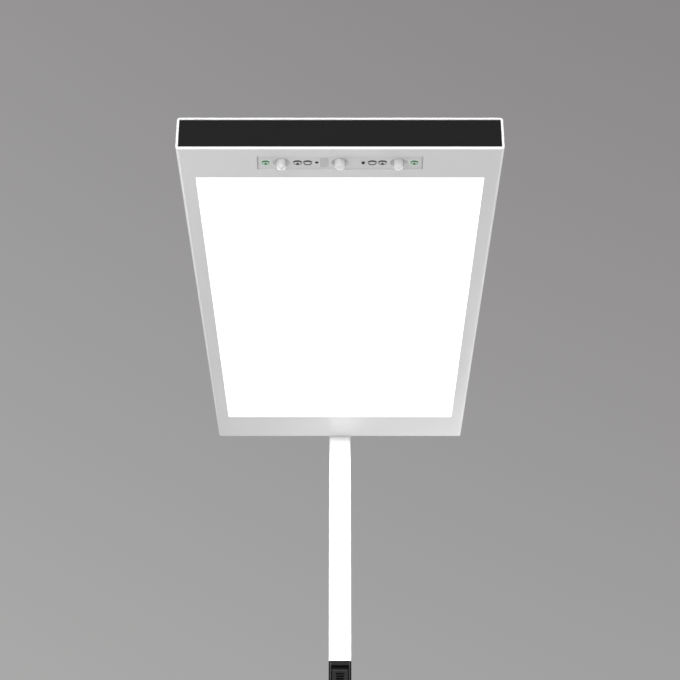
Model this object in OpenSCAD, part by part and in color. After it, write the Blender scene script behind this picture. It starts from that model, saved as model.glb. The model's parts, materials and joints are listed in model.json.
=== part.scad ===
// Office floor lamp: a flat rectangular head carried at one end by a slim pole on a floor plate.
// Units are millimetres. +Z is up, and the head reaches from the pole towards -Y.
// The origin is on the floor, at the centre of the lamp's outline seen from above.

/* [Lamp] */
// Height from the floor to the top of the head
lamp_h = 1950; // [1750:10:2100]

/* [Head housing] */
// Width of the head
head_w = 320; // [296:4:360]
// Length of the head
head_l = 640; // [610:5:720]
// Thickness of the head
head_t = 38; // [34:0.5:42]
// Wall of the extruded housing
head_wall = 2.2; // [1.8:0.1:2.4]
// Outer corner radius of the housing's section
head_r = 3; // [2.6:0.2:4.4]
// Width of the ledge that runs inside each side wall
ledge_w = 6.5; // [6:0.1:6.7]
// Hole of the screw ports at the four inner corners
port_d = 2.9; // [2.5:0.1:3.3]
// Thickness of the black cap at the free end
front_cap_t = 2.5; // [2:0.1:3.5]
// Thickness of the cap at the pole end
rear_cap_t = 3; // [2.6:0.1:4]
// Depth of both caps below the housing's rim
cap_recess = 0.6; // [0.2:0.1:1.2]

/* [Downlight] */
// Margin beside the light panel
panel_side = 16.2; // [15.4:0.2:40]
// Margin in front of the light panel
panel_front = 47.8; // [46:0.2:70]
// Margin behind the light panel
panel_rear = 56.2; // [54:0.2:90]
// Thickness of the lip that holds the prismatic panel
panel_t = 1.5; // [1:0.1:2]
// Depth of the panel's face above the underside
panel_recess = 0.3; // [0.1:0.1:0.8]
// Thickness of the light guide
guide_t = 4; // [3:0.5:5]
// Reach of the light guide past the window on each side
guide_over = 2.5; // [1.5:0.1:2.6]
// Thickness of the white reflector film
film_t = 0.5; // [0.3:0.1:0.8]
// Thickness of the edge-light circuit strips
strip_t = 1; // [0.8:0.1:1.1]
// Height of a light-emitting package above its board
led_t = 1; // [0.6:0.1:1.1]
// Pitch of the packages along an edge strip
edge_led_pitch = 24; // [16:1:40]

/* [Tray and uplight] */
// Thickness of the aluminium tray
tray_t = 2; // [1.5:0.1:2.5]
// Thickness of the tray's downturned edges
tray_edge_t = 1.5; // [1:0.1:1.6]
// Diameter of the tray and driver screws
small_screw_d = 3; // [2.5:0.1:3.4]
// Margin in front of the uplight window
uplight_front = 70; // [64:1:90]
// Margin behind the uplight window
uplight_rear = 130; // [126:1:170]
// Margin beside the uplight window
uplight_side = 45; // [42:1:80]
// Thickness of the clear cover's lip
cover_t = 1.5; // [1:0.1:2]
// Thickness of the circuit boards
board_t = 1.6; // [1:0.1:2]
// Pitch of the uplight packages
uplight_pitch = 50; // [40:1:60]
// Length of the driver's case
driver_l = 240; // [200:5:250]
// Width of the driver's case
driver_d = 30; // [24:1:34]
// Height of the driver's case
driver_h = 19; // [12:0.5:21]

/* [Sensor strip] */
// Length of the sensor strip
strip_l = 162.5; // [162:0.5:190]
// Width of the sensor strip
strip_w = 21.9; // [21.4:0.1:23]
// Distance from the free end to the middle of the strip
strip_y = 23.2; // [21.5:0.1:23.5]
// Depth of the strip's face above the underside
strip_recess = 0.8; // [0.4:0.1:1.2]
// Distance from the middle to each side lens
lens_pitch = 57.6; // [56:0.1:58]
// Diameter of the side lenses
lens_d = 9; // [8:0.1:9.6]
// Diameter of the middle lens
mid_lens_d = 10.4; // [9.6:0.1:10.8]
// Drop of the side lenses below the underside
lens_drop = 7.4; // [5.5:0.1:8]
// Drop of the middle lens below the underside
mid_lens_drop = 6.3; // [5.5:0.1:8]
// Wall of the lenses
lens_wall = 0.8; // [0.5:0.1:1]
// Diameter of each lens dish at the strip's face
dish_d = 17; // [16:0.1:18]
// Depth of each lens dish
dish_depth = 4; // [3.6:0.1:5]
// Distance from the middle to each indicator window
indicator_x = 73.2; // [73:0.1:74]
// Width of the indicator windows
indicator_w = 13; // [10:0.1:13.4]
// Length of the indicator windows
indicator_l = 15; // [12:0.1:16]
// Distance from the middle to the status window
status_x = 15.4; // [15.2:0.1:16]
// Width of the status window
status_w = 7.5; // [6.5:0.1:7.7]
// Distance from the middle to the receiver window and the light sensor
dot_x = 22.8; // [22.6:0.1:24]
// Diameter of the receiver window
receiver_d = 3.5; // [2.5:0.1:3.6]
// Diameter of the light sensor's dome
light_d = 3.6; // [2.6:0.1:3.8]
// Height that the light sensor stands out of the strip
light_out = 1.8; // [0.8:0.1:2.2]

/* [Pole] */
// Width of the pole
pole_w = 28; // [27:0.5:32]
// Depth of the pole
pole_d = 50; // [49:0.5:60]
// Wall of the pole
pole_wall = 2; // [1.6:0.1:2.2]
// Corner radius of the pole
pole_r = 3; // [2.4:0.1:4]
// Shadow gap between the head and the pole
neck_gap = 1; // [0.5:0.1:3]
// Width of the tongue that carries the head
tongue_w = 20; // [17:0.5:22]
// Height of the tongue
tongue_h = 16; // [12.5:0.5:18]
// Thickness of the mounting plate on the tongue
neck_plate_t = 5; // [4:0.1:5.5]
// Length of the mounting plate on the tongue
neck_plate_l = 42; // [40:0.5:43]
// Width of the mounting plate on the tongue
neck_plate_w = 110; // [90:1:130]
// Height of the block that the tongue stands on
neck_block_h = 68; // [62:1:90]
// Diameter of the neck screws
neck_screw_d = 5; // [4:0.1:5.4]
// Diameter of the countersunk pole screws
pole_screw_d = 5; // [4:0.1:5.2]
// Diameter of the wiring bundle in the pole
loom_d = 6; // [4:0.1:6.2]
// Bend radius of the wiring bundle below the pole's cap
loom_bend = 14; // [12:0.5:15]

/* [Control module] */
// Visible length of pole between the head and the control module
neck_l = 306; // [200:1:500]
// Height of the control module
control_h = 60; // [58:1:90]
// Height of the rim above the slider's recess
control_rim = 6; // [4.4:0.1:7]
// Width of the slider's recess
recess_w = 21.4; // [19:0.1:21.8]
// Depth of the slider's recess
recess_d = 4.5; // [4:0.1:5]
// Height of the slider
slider_h = 23; // [22:0.5:26]
// Thickness of the slider's plate
slider_t = 3.6; // [2.8:0.1:4]
// Travel of the slider upwards
travel_up = 5; // [3:0.1:6]
// Travel of the slider downwards
travel_down = 15; // [10:0.1:16]
// Number of grip grooves
groove_n = 5; // [3:1:5]
// Width of a grip groove
groove_w = 9.8; // [8:0.1:14]
// Height of a grip groove
groove_h = 1.6; // [1:0.1:2]
// Pitch of the grip grooves
groove_pitch = 3.3; // [2.8:0.1:4]
// Reach of the spigot into each pole tube
spigot_reach = 60; // [50:1:90]
// Wall of the spigot
spigot_wall = 3; // [2:0.1:4]

/* [Base] */
// Width of the base plate
base_w = 320; // [280:5:360]
// Length of the base plate
base_l = 460; // [400:5:520]
// Thickness of the base plate
base_t = 8; // [7:0.5:12]
// Corner radius of the base plate
base_r = 12; // [6:1:30]
// Length of base plate behind the pole
base_behind = 30; // [24:1:60]
// Height of the glides under the plate
glide_h = 3; // [2:0.5:6]
// Diameter of the glides
glide_d = 30; // [20:1:40]
// Distance from the plate's edges to the middle of a glide
glide_inset = 30; // [24:1:50]
// Height of the foot block inside the pole
foot_h = 45; // [42:1:70]
// Diameter of the screws that hold the pole down
foot_screw_d = 8; // [6:0.1:8.4]
// Width of the collar around the foot of the pole
collar_w = 4; // [3:0.5:8]
// Height of the collar
collar_h = 4; // [2:0.5:8]
// Height of the cable gland above the foot block
gland_up = 22; // [20:0.5:60]
// Hole of the cable gland
gland_bore_d = 7.2; // [5:0.1:8]
// Outside diameter of the gland's body
gland_body_d = 12; // [10:0.1:12.6]

/* [Hidden] */
$fn = 64;

// Clearances
fit = 0.3;          // between pieces that slot together
screw_fit = 0.1;    // around a screw's shank and head, on the radius
seam = 0.2;         // between the pole tubes and the control module
over = 1;           // how far a cutter runs past the face that it cuts

// Places along Y
total_y = head_l + neck_gap + pole_d + base_behind;
y_front = -total_y / 2;
y_rear = y_front + head_l;
y_pole = y_rear + neck_gap;
y_pole_mid = y_pole + pole_d / 2;
y_pole_back = y_pole + pole_d;
y_base_back = y_pole_back + base_behind;
y_base_mid = y_base_back - base_l / 2;
y_strip = y_front + strip_y;

// Levels inside the head, from the underside up
z_under = lamp_h - head_t;
z_floor = z_under + head_wall;
z_ceiling = lamp_h - head_wall;
z_guide = z_floor + panel_t;
z_film = z_guide + guide_t;
z_tray = z_film + film_t;
z_deck = z_tray + tray_t;
inner_w = head_w - 2 * head_wall;
inner_t = head_t - 2 * head_wall;
inner_r = max(head_r - head_wall, 0.2);

// Light panel
panel_w = head_w - 2 * panel_side;
panel_l = head_l - panel_front - panel_rear;
y_panel = y_front + panel_front;
led_gap = 0.2;
strip_x = panel_w / 2 + guide_over + led_gap + led_t;
tray_edge_x = strip_x + strip_t;
panel_lip = tray_edge_x + tray_edge_t - panel_w / 2;
guide_w = panel_w + 2 * guide_over;
edge_led_w = 3.5;
edge_led_h = 2.2;

// Tray
port_size = ledge_w;
port_x = inner_w / 2 - port_size / 2;
port_z_low = (z_floor + z_tray) / 2;
port_z_high = z_ceiling - port_size / 2;
y_tray = y_panel - panel_lip - 1;
y_tray_end = y_rear - cap_recess - rear_cap_t - fit;
tray_screw_n = 4;
tray_screw_len = tray_t + 5;
small_head_d = 1.9 * small_screw_d;
small_head_h = 0.6 * small_screw_d;
cap_screw_d = port_d - 0.3;
cap_head_d = 2 * cap_screw_d;
cap_peg_d = port_d - 0.2;
cap_peg_l = 8;
ribbon_w = 8;
ribbon_t = 1;
x_ribbon = -60;

// Uplight
y_uplight = y_front + uplight_front;
uplight_l = head_l - uplight_front - uplight_rear;
uplight_w = head_w - 2 * uplight_side;
cover_lip = 6;
uplight_board_margin = 5;
uplight_board_l = uplight_l / 2 - uplight_board_margin;
uplight_board_w = uplight_w - 2 * uplight_board_margin;

// Neck
y_neck_end = y_tray_end - 2;
y_neck = y_neck_end - neck_plate_l;
neck_top = z_deck + tongue_h;
neck_screw_x = neck_plate_w / 2 - 15;
neck_screw_inset = 9;
neck_head_h = 3;
nut_t = 4;
nut_af = 1.6 * neck_screw_d;
loom_groove = loom_d + 1;
z_loom = neck_top - loom_groove - fit + loom_d / 2 + 0.5;
y_loom = y_pole + 21.5;
z_block = neck_top - neck_block_h;

// Driver
driver_gap = 6;
y_driver_back = y_neck - driver_gap;
y_driver = y_driver_back - driver_d;
driver_ear = 10;
driver_ear_t = 2;

// Sensor strip
z_face = z_under + strip_recess;
bezel_lip = 3.5;
bezel_lip_t = 1.5;
z_bezel = z_floor + bezel_lip_t;
z_cup = z_face + dish_depth + 1.2;
lens_flange_t = 1;
z_board = z_cup + lens_flange_t;
board_l = strip_l - 9;
board_w = 18;
post_x = 37;
post_d = 5;
board_screw_d = 2;
window_lip = 1;
window_lip_t = 0.8;
light_body = 5;

// Pole and control module
pole_in_w = pole_w - 2 * pole_wall;
pole_in_d = pole_d - 2 * pole_wall;
pole_in_r = max(pole_r - pole_wall, 0.2);
top_cap_t = 2.5;
top_plug_h = 3.5;
z_control_top = z_under - neck_l;
z_control = z_control_top - control_h;
z_control_mid = (z_control_top + z_control) / 2;
end_gap = 0.3;
recess_h = slider_h + travel_up + travel_down + 2 * end_gap;
z_recess_top = z_control_top - control_rim;
z_slider = z_recess_top - end_gap - travel_up - slider_h / 2;
z_track = z_slider + (travel_up - travel_down) / 2;
slider_side_gap = 0.5;
slider_sunk = 0.4;
groove_depth = 1;
stem_w = 4.4;
stem_h = 8;
recess_floor = 2;
y_cavity = y_pole + recess_d + recess_floor;
y_stem_end = y_cavity + 2.5;
y_track = y_stem_end + 0.5;
track_w = 9;
track_t = 5.5;
lever_w = 1.2;
lever_h = 4;
y_control_board = y_track + track_t;
track_h = travel_up + travel_down + 15;
control_board_h = control_h - 4;
control_board_w = pole_in_w - 2;
control_post_d = 5.4;
control_post_z = control_h / 2 - 5;
control_screw_d = 2.5;
spigot_front = 26;
spigot_w = pole_in_w - 2 * fit;
spigot_d = pole_d - pole_wall - fit - spigot_front;

// Base
z_base = glide_h;
z_base_top = glide_h + base_t;
foot_screw_y = [12, 28];
foot_head_d = 2 * foot_screw_d;
foot_screw_len = base_t + 22;
glide_peg_d = 8;
glide_peg_h = 5;
z_gland = z_base_top + foot_h + gland_up;
gland_flange_d = gland_body_d + 6;
gland_flange_t = 3;
gland_inside = 8;
gland_nut_t = 4;
gland_nut_af = gland_body_d + 4;
terminal_w = 22;
terminal_d = 24;
terminal_h = 28;
pole_screw_len = 12;
pole_head_d = pole_screw_d + 2 * pole_wall;
// Heights of the screws through the back of the pole
pole_screw_z = [
    z_base_top + 14, z_base_top + 32,
    z_control - 45, z_control - 18,
    z_control_mid,
    z_control_top + 18, z_control_top + 45,
    z_block + 15, z_block + 45
];

// ---- Shapes that repeat ----

// Rectangle with round corners, centred
module round_rect(w, h, r) {
    square([w - 2 * r, h], center = true);
    square([w, h - 2 * r], center = true);
    for (sx = [-1, 1], sy = [-1, 1])
        translate([sx * (w / 2 - r), sy * (h / 2 - r)]) circle(r);
}

// Block from a low corner to a high corner
module block(low, high) {
    translate(low) cube(high - low);
}

// Section in X and Z extruded along Y, from y0 to y1, centred on height z
module along_y(y0, y1, z) {
    translate([0, y1, z]) rotate([90, 0, 0]) linear_extrude(y1 - y0) children();
}

// Hexagonal key socket at the top of a screw
module key_socket(d, depth) {
    translate([0, 0, -depth]) cylinder(d = d, h = depth + over, $fn = 6);
}

// Countersunk screw: its flat head is at z = 0, and it points down
module csk_screw(d, head_d, len) {
    difference() {
        union() {
            translate([0, 0, -(head_d - d) / 2]) cylinder(d1 = d, d2 = head_d, h = (head_d - d) / 2);
            translate([0, 0, -len]) cylinder(d = d, h = len);
        }
        key_socket(0.6 * d, 0.45 * d);
    }
}

// The hole for that screw
module csk_hole(d, head_d, len) {
    gap = 2 * screw_fit;
    translate([0, 0, -(head_d - d) / 2]) cylinder(d1 = d + gap, d2 = head_d + gap, h = (head_d - d) / 2);
    translate([0, 0, -len]) cylinder(d = d + gap, h = len + over);
}

// Pan-head screw: it points down from z = 0, and its head stands above
module pan_screw(d, head_d, head_h, len) {
    difference() {
        union() {
            cylinder(d = head_d, h = head_h);
            translate([0, 0, -len]) cylinder(d = d, h = len + head_h / 2);
        }
        translate([0, 0, head_h]) key_socket(0.55 * d, 0.6 * head_h);
    }
}

// Section of the pole: a round-cornered tube
module pole_section() {
    difference() {
        round_rect(pole_w, pole_d, pole_r);
        round_rect(pole_in_w, pole_in_d, pole_in_r);
    }
}

// Lets its children stand at each screw in the back of the pole, pointing inwards
module at_pole_screws() {
    for (z = pole_screw_z)
        translate([0, y_pole_back, z]) rotate([-90, 0, 0]) children();
}

module pole_screw_holes() {
    at_pole_screws() csk_hole(pole_screw_d, pole_head_d, pole_screw_len + fit);
}

// Way through the rear cap and the pole's front wall for the tongue
module tongue_way(y0, y1) {
    block([-tongue_w / 2 - fit, y0, z_deck - fit], [tongue_w / 2 + fit, y1, neck_top + fit]);
}

module at_tray_screws() {
    for (s = [-1, 1], k = [0 : tray_screw_n - 1])
        translate([s * port_x, y_panel + panel_l * (k + 0.5) / tray_screw_n, z_deck]) children();
}

module at_neck_screws() {
    for (s = [-1, 1], y = [y_neck + neck_screw_inset, y_neck_end - neck_screw_inset])
        translate([s * neck_screw_x, y, z_deck]) children();
}

module at_ports(y) {
    for (s = [-1, 1], z = [port_z_low, port_z_high]) translate([s * port_x, y, z]) children();
}

// ---- Head ----

module housing_section() {
    difference() {
        round_rect(head_w, head_t, head_r);
        round_rect(inner_w, inner_t, inner_r);
    }
    // ledge under the tray's edge, and a screw port in each upper corner
    for (s = [-1, 1]) translate([s * port_x, head_t / 2 - lamp_h]) {
        translate([-port_size / 2, z_floor - head_wall / 2])
            square([port_size, z_tray - z_floor + head_wall / 2]);
        translate([-port_size / 2, z_ceiling - port_size]) square([port_size, port_size + head_wall / 2]);
    }
    for (s = [-1, 1]) translate([s * (inner_w + head_wall) / 2, 0])
        square([head_wall, inner_t], center = true);
}

module cap_seat(y0, y1) {
    along_y(y0, y1, lamp_h - head_t / 2) round_rect(inner_w, inner_t, inner_r);
}

module head_housing() {
    color("white") difference() {
        along_y(y_front, y_rear, lamp_h - head_t / 2) housing_section();
        cap_seat(y_front - over, y_front + cap_recess + front_cap_t);
        cap_seat(y_rear - cap_recess - rear_cap_t, y_rear + over);
        // window of the light panel
        block([-panel_w / 2, y_panel, z_under - over], [panel_w / 2, y_panel + panel_l, z_floor + over]);
        // window of the sensor strip
        translate([0, y_strip, z_under - over]) linear_extrude(head_wall + 2 * over)
            round_rect(strip_l, strip_w, 1);
        // window of the uplight
        block([-uplight_w / 2, y_uplight, z_ceiling - over],
              [uplight_w / 2, y_uplight + uplight_l, lamp_h + over]);
        at_ports(y_front - over) rotate([-90, 0, 0]) cylinder(d = port_d, h = head_l + 2 * over);
        at_tray_screws() translate([0, 0, -tray_screw_len - fit])
            cylinder(d = small_screw_d + 2 * screw_fit, h = tray_screw_len);
    }
}

module front_cap() {
    y0 = y_front + cap_recess;
    color([0.12, 0.12, 0.12]) {
        along_y(y0, y0 + front_cap_t, lamp_h - head_t / 2)
            round_rect(inner_w - fit, inner_t - fit, inner_r);
        at_ports(y0 + front_cap_t - over) rotate([-90, 0, 0]) cylinder(d = cap_peg_d, h = cap_peg_l + over);
    }
}

module rear_cap() {
    y1 = y_rear - cap_recess;
    color("white") difference() {
        along_y(y1 - rear_cap_t, y1, lamp_h - head_t / 2)
            round_rect(inner_w - fit, inner_t - fit, inner_r);
        tongue_way(y1 - rear_cap_t - over, y1 + over);
        at_ports(y1) rotate([-90, 0, 0]) csk_hole(cap_screw_d, cap_head_d, rear_cap_t + over);
    }
}

module rear_cap_screws() {
    color("silver") at_ports(y_rear - cap_recess) rotate([-90, 0, 0])
        csk_screw(cap_screw_d, cap_head_d, rear_cap_t + 8);
}

// Plate with a stepped edge: its lip is held by the housing, and its face fills the window
module direct_panel() {
    y0 = y_panel;
    y1 = y_panel + panel_l;
    color([1, 1, 1]) {
        block([-panel_w / 2 - panel_lip, y0 - panel_lip, z_floor],
              [panel_w / 2 + panel_lip, y1 + panel_lip, z_guide]);
        block([-panel_w / 2 + fit, y0 + fit, z_under + panel_recess],
              [panel_w / 2 - fit, y1 - fit, z_floor + panel_t / 2]);
    }
}

module light_guide() {
    color([0.9, 0.95, 1]) block([-guide_w / 2, y_panel - guide_over, z_guide],
                                [guide_w / 2, y_panel + panel_l + guide_over, z_film]);
}

module reflector_film() {
    color("white") block([-guide_w / 2, y_panel - guide_over, z_film],
                         [guide_w / 2, y_panel + panel_l + guide_over, z_tray]);
}

// Circuit strip that stands on the panel's lip, against the tray's downturned edge
module edge_strip(side) {
    color([0.95, 0.95, 0.9]) translate([side * (strip_x + strip_t / 2), y_panel + panel_l / 2, 0])
        block([-strip_t / 2, -panel_l / 2, z_guide], [strip_t / 2, panel_l / 2, z_tray - 0.1]);
}

module edge_strip_left() {
    edge_strip(-1);
}

module edge_strip_right() {
    edge_strip(1);
}

module edge_leds() {
    n = floor((panel_l - edge_led_w) / edge_led_pitch);
    color([1, 0.9, 0.4]) for (side = [-1, 1], k = [0 : n])
        translate([side * (strip_x - led_t / 2),
                   y_panel + panel_l / 2 + (k - n / 2) * edge_led_pitch, z_guide + guide_t / 2])
            cube([led_t, edge_led_w, edge_led_h], center = true);
}

// Aluminium tray: carries all the electrics and draws the heat out of the edge strips
module gear_tray() {
    half = inner_w / 2 - fit;
    color([0.75, 0.77, 0.8]) difference() {
        union() {
            block([-half, y_tray, z_tray], [half, y_tray_end, z_deck]);
            for (s = [-1, 1]) translate([s * (tray_edge_x + tray_edge_t / 2), 0, 0])
                block([-tray_edge_t / 2, y_panel, z_guide],
                      [tray_edge_t / 2, y_panel + panel_l, z_tray + tray_t / 2]);
        }
        at_tray_screws() translate([0, 0, -tray_t - over])
            cylinder(d = small_screw_d + 4 * screw_fit, h = tray_t + 2 * over);
        at_neck_screws() translate([0, 0, -tray_t - over])
            cylinder(d = neck_screw_d + 2 * screw_fit, h = tray_t + 2 * over);
        at_driver_screws() translate([0, 0, -tray_t - over])
            cylinder(d = small_screw_d + 2 * screw_fit, h = tray_t + 2 * over);
    }
}

module tray_screws() {
    color("silver") at_tray_screws()
        pan_screw(small_screw_d, small_head_d, small_head_h, tray_screw_len);
}

// Circuit board on the tray, under the uplight window; half 0 is in front
module uplight_board(half) {
    y0 = y_uplight + half * uplight_l / 2 + uplight_board_margin / 2;
    color([0.95, 0.95, 0.9]) block([-uplight_board_w / 2, y0, z_deck],
                                   [uplight_board_w / 2, y0 + uplight_board_l, z_deck + board_t]);
}

module uplight_board_front() {
    uplight_board(0);
}

module uplight_board_rear() {
    uplight_board(1);
}

module uplight_leds() {
    nx = floor(uplight_board_w / uplight_pitch);
    ny = floor(uplight_board_l / uplight_pitch);
    color([1, 0.9, 0.4]) for (half = [0, 1], i = [1 : nx], j = [1 : ny])
        translate([(i - (nx + 1) / 2) * uplight_pitch,
                   y_uplight + (half + 0.5) * uplight_l / 2 + (j - (ny + 1) / 2) * uplight_pitch,
                   z_deck + board_t + led_t / 2])
            cube([edge_led_w, edge_led_w, led_t], center = true);
}

module uplight_cover() {
    y0 = y_uplight;
    y1 = y_uplight + uplight_l;
    color([0.9, 0.95, 1, 0.5]) {
        block([-uplight_w / 2 - cover_lip, y0 - cover_lip, z_ceiling - cover_t],
              [uplight_w / 2 + cover_lip, y1 + cover_lip, z_ceiling]);
        block([-uplight_w / 2 + fit, y0 + fit, z_ceiling - cover_t / 2],
              [uplight_w / 2 - fit, y1 - fit, lamp_h - panel_recess]);
    }
}

module at_driver_screws() {
    for (s = [-1, 1])
        translate([s * (driver_l / 2 + driver_ear / 2), y_driver + driver_d / 2, z_deck]) children();
}

module led_driver() {
    half = driver_l / 2;
    color([0.9, 0.9, 0.9]) difference() {
        union() {
            block([-half, y_driver, z_deck], [half, y_driver_back, z_deck + driver_h]);
            block([-half - driver_ear, y_driver + driver_d / 4, z_deck],
                  [half + driver_ear, y_driver_back - driver_d / 4, z_deck + driver_ear_t]);
        }
        at_driver_screws() translate([0, 0, -over])
            cylinder(d = small_screw_d + 2 * screw_fit, h = driver_ear_t + 2 * over);
    }
}

module driver_screws() {
    color("silver") at_driver_screws() translate([0, 0, driver_ear_t])
        pan_screw(small_screw_d, small_head_d, small_head_h, driver_ear_t + tray_t);
}

// Flat ribbon from the sensor board, over the tray's front edge, to the driver
module sensor_cable() {
    x0 = x_ribbon;
    x1 = -uplight_board_w / 2 - 2 - ribbon_w;
    z0 = z_board + board_t;
    y_rise = y_tray - 2 - ribbon_t;
    y_lane = y_tray + 4;
    color([0.8, 0.8, 0.8]) {
        block([x0, y_strip, z0], [x0 + ribbon_w, y_rise + ribbon_t, z0 + ribbon_t]);
        block([x0, y_rise, min(z0, z_deck)],
              [x0 + ribbon_w, y_rise + ribbon_t, max(z0, z_deck) + ribbon_t]);
        block([x0, y_rise, z_deck], [x0 + ribbon_w, y_lane + ribbon_w, z_deck + ribbon_t]);
        block([x1, y_lane, z_deck], [x0 + ribbon_w, y_lane + ribbon_w, z_deck + ribbon_t]);
        block([x1, y_lane, z_deck], [x1 + ribbon_w, y_driver, z_deck + ribbon_t]);
    }
}

// ---- Sensor strip ----

lens_xs = [-lens_pitch, 0, lens_pitch];

module sensor_bezel() {
    color([0.83, 0.83, 0.84]) difference() {
        union() {
            translate([0, y_strip, z_face]) linear_extrude(z_bezel - z_face)
                round_rect(strip_l - fit, strip_w - fit, 1);
            translate([0, y_strip, z_floor]) linear_extrude(bezel_lip_t)
                round_rect(strip_l + 2 * bezel_lip, strip_w + 2 * bezel_lip, 2);
            for (x = lens_xs) translate([x, y_strip, z_face]) cylinder(d = dish_d + 2, h = z_cup - z_face);
            for (s = [-1, 1]) translate([s * post_x, y_strip, z_floor])
                cylinder(d = post_d, h = z_board - z_floor);
        }
        for (x = lens_xs) translate([x, y_strip, z_face - 0.01])
            cylinder(d1 = dish_d, d2 = mid_lens_d + 1, h = dish_depth);
        for (s = [-1, 1]) translate([s * lens_pitch, y_strip, z_face]) cylinder(d = lens_d + fit, h = 20);
        translate([0, y_strip, z_face]) cylinder(d = mid_lens_d + fit, h = 20);
        for (s = [-1, 1]) {
            window_way(s * indicator_x, indicator_w);
            translate([s * post_x, y_strip, z_board - 3]) cylinder(d = board_screw_d + 2 * screw_fit, h = 9);
        }
        window_way(-status_x, status_w);
        translate([-dot_x, y_strip, z_face - over]) cylinder(d = receiver_d + fit, h = 20);
        translate([dot_x, y_strip, z_face - over]) cylinder(d = light_d + fit, h = 20);
    }
}

module window_way(x, w) {
    block([x - w / 2 - fit / 2, y_strip - indicator_l / 2 - fit / 2, z_face - over],
          [x + w / 2 + fit / 2, y_strip + indicator_l / 2 + fit / 2, z_bezel + over]);
}

// Opal insert that fills a hole in the bezel, with a lip behind its front and back edges
module window_insert(x, w) {
    translate([x, y_strip, 0]) {
        block([-w / 2, -indicator_l / 2, z_face], [w / 2, indicator_l / 2, z_bezel + window_lip_t / 2]);
        block([-w / 2, -indicator_l / 2 - window_lip, z_bezel],
              [w / 2, indicator_l / 2 + window_lip, z_bezel + window_lip_t]);
    }
}

module indicator_window_left() {
    color([0.85, 0.95, 0.87]) window_insert(-indicator_x, indicator_w);
}

module indicator_window_right() {
    color([0.85, 0.95, 0.87]) window_insert(indicator_x, indicator_w);
}

module status_window() {
    color([0.7, 0.7, 0.7]) window_insert(-status_x, status_w);
}

module receiver_window() {
    color([0.1, 0.1, 0.1]) translate([-dot_x, y_strip, 0]) {
        translate([0, 0, z_face]) cylinder(d = receiver_d, h = z_bezel - z_face + window_lip_t / 2);
        translate([0, 0, z_bezel]) cylinder(d = receiver_d + window_lip, h = window_lip_t);
    }
}

// Thin-walled dome with a flange that the sensor board clamps on its cup
module side_lens(x) {
    z_tip = z_under - lens_drop;
    color([0.93, 0.93, 0.94]) translate([x, y_strip, 0]) difference() {
        union() {
            translate([0, 0, z_tip + lens_d / 2]) sphere(d = lens_d);
            translate([0, 0, z_tip + lens_d / 2]) cylinder(d = lens_d, h = z_cup - z_tip - lens_d / 2);
            translate([0, 0, z_cup]) cylinder(d = lens_d + 4, h = lens_flange_t);
        }
        translate([0, 0, z_tip + lens_d / 2]) sphere(d = lens_d - 2 * lens_wall);
        translate([0, 0, z_tip + lens_d / 2]) cylinder(d = lens_d - 2 * lens_wall, h = 20);
    }
}

module sensor_lens_left() {
    side_lens(-lens_pitch);
}

module sensor_lens_right() {
    side_lens(lens_pitch);
}

// Round bulb on a narrower neck
module sensor_lens_centre() {
    z_ball = z_under - mid_lens_drop + mid_lens_d / 2;
    neck_d = mid_lens_d - 2;
    color([0.93, 0.93, 0.94]) translate([0, y_strip, 0]) difference() {
        union() {
            translate([0, 0, z_ball]) sphere(d = mid_lens_d);
            translate([0, 0, z_ball]) cylinder(d = neck_d, h = z_cup - z_ball + lens_flange_t / 2);
            translate([0, 0, z_cup]) cylinder(d = mid_lens_d + 4, h = lens_flange_t);
        }
        translate([0, 0, z_ball]) sphere(d = mid_lens_d - 2 * lens_wall);
        translate([0, 0, z_ball]) cylinder(d = neck_d - 2 * lens_wall, h = 20);
    }
}

module motion_detectors() {
    d = min(lens_d, mid_lens_d - 2) - 2 * lens_wall - fit;
    color([0.8, 0.8, 0.82]) for (x = lens_xs)
        translate([x, y_strip, z_board - 4]) cylinder(d = d, h = 4);
}

module sensor_board() {
    color([0.2, 0.45, 0.3]) difference() {
        block([-board_l / 2, y_strip - board_w / 2, z_board],
              [board_l / 2, y_strip + board_w / 2, z_board + board_t]);
        for (s = [-1, 1]) translate([s * post_x, y_strip, z_board - over])
            cylinder(d = board_screw_d + 2 * screw_fit, h = board_t + 2 * over);
    }
}

module board_screws() {
    color("silver") for (s = [-1, 1]) translate([s * post_x, y_strip, z_board + board_t])
        pan_screw(board_screw_d, 2 * board_screw_d, 1.3, board_t + 2.5);
}

module indicator_leds() {
    h = z_board - z_bezel - window_lip_t - 0.5;
    x = min(indicator_x, board_l / 2 - 2);
    color([0.3, 0.9, 0.4]) for (s = [-1, 1])
        translate([s * x, y_strip, z_board - h / 2]) cube([3, 3, h], center = true);
}

// Domed sensor that measures the room's light: its case fills the gap between bezel and board
module light_sensor() {
    color([0.1, 0.1, 0.1]) translate([dot_x, y_strip, 0]) {
        translate([0, 0, z_face - light_out + light_d / 2]) sphere(d = light_d);
        translate([0, 0, z_face - light_out + light_d / 2])
            cylinder(d = light_d, h = z_bezel - z_face + light_out);
        block([-light_body / 2, -light_body / 2, z_bezel], [light_body / 2, light_body / 2, z_board]);
    }
}

// ---- Neck ----

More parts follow.
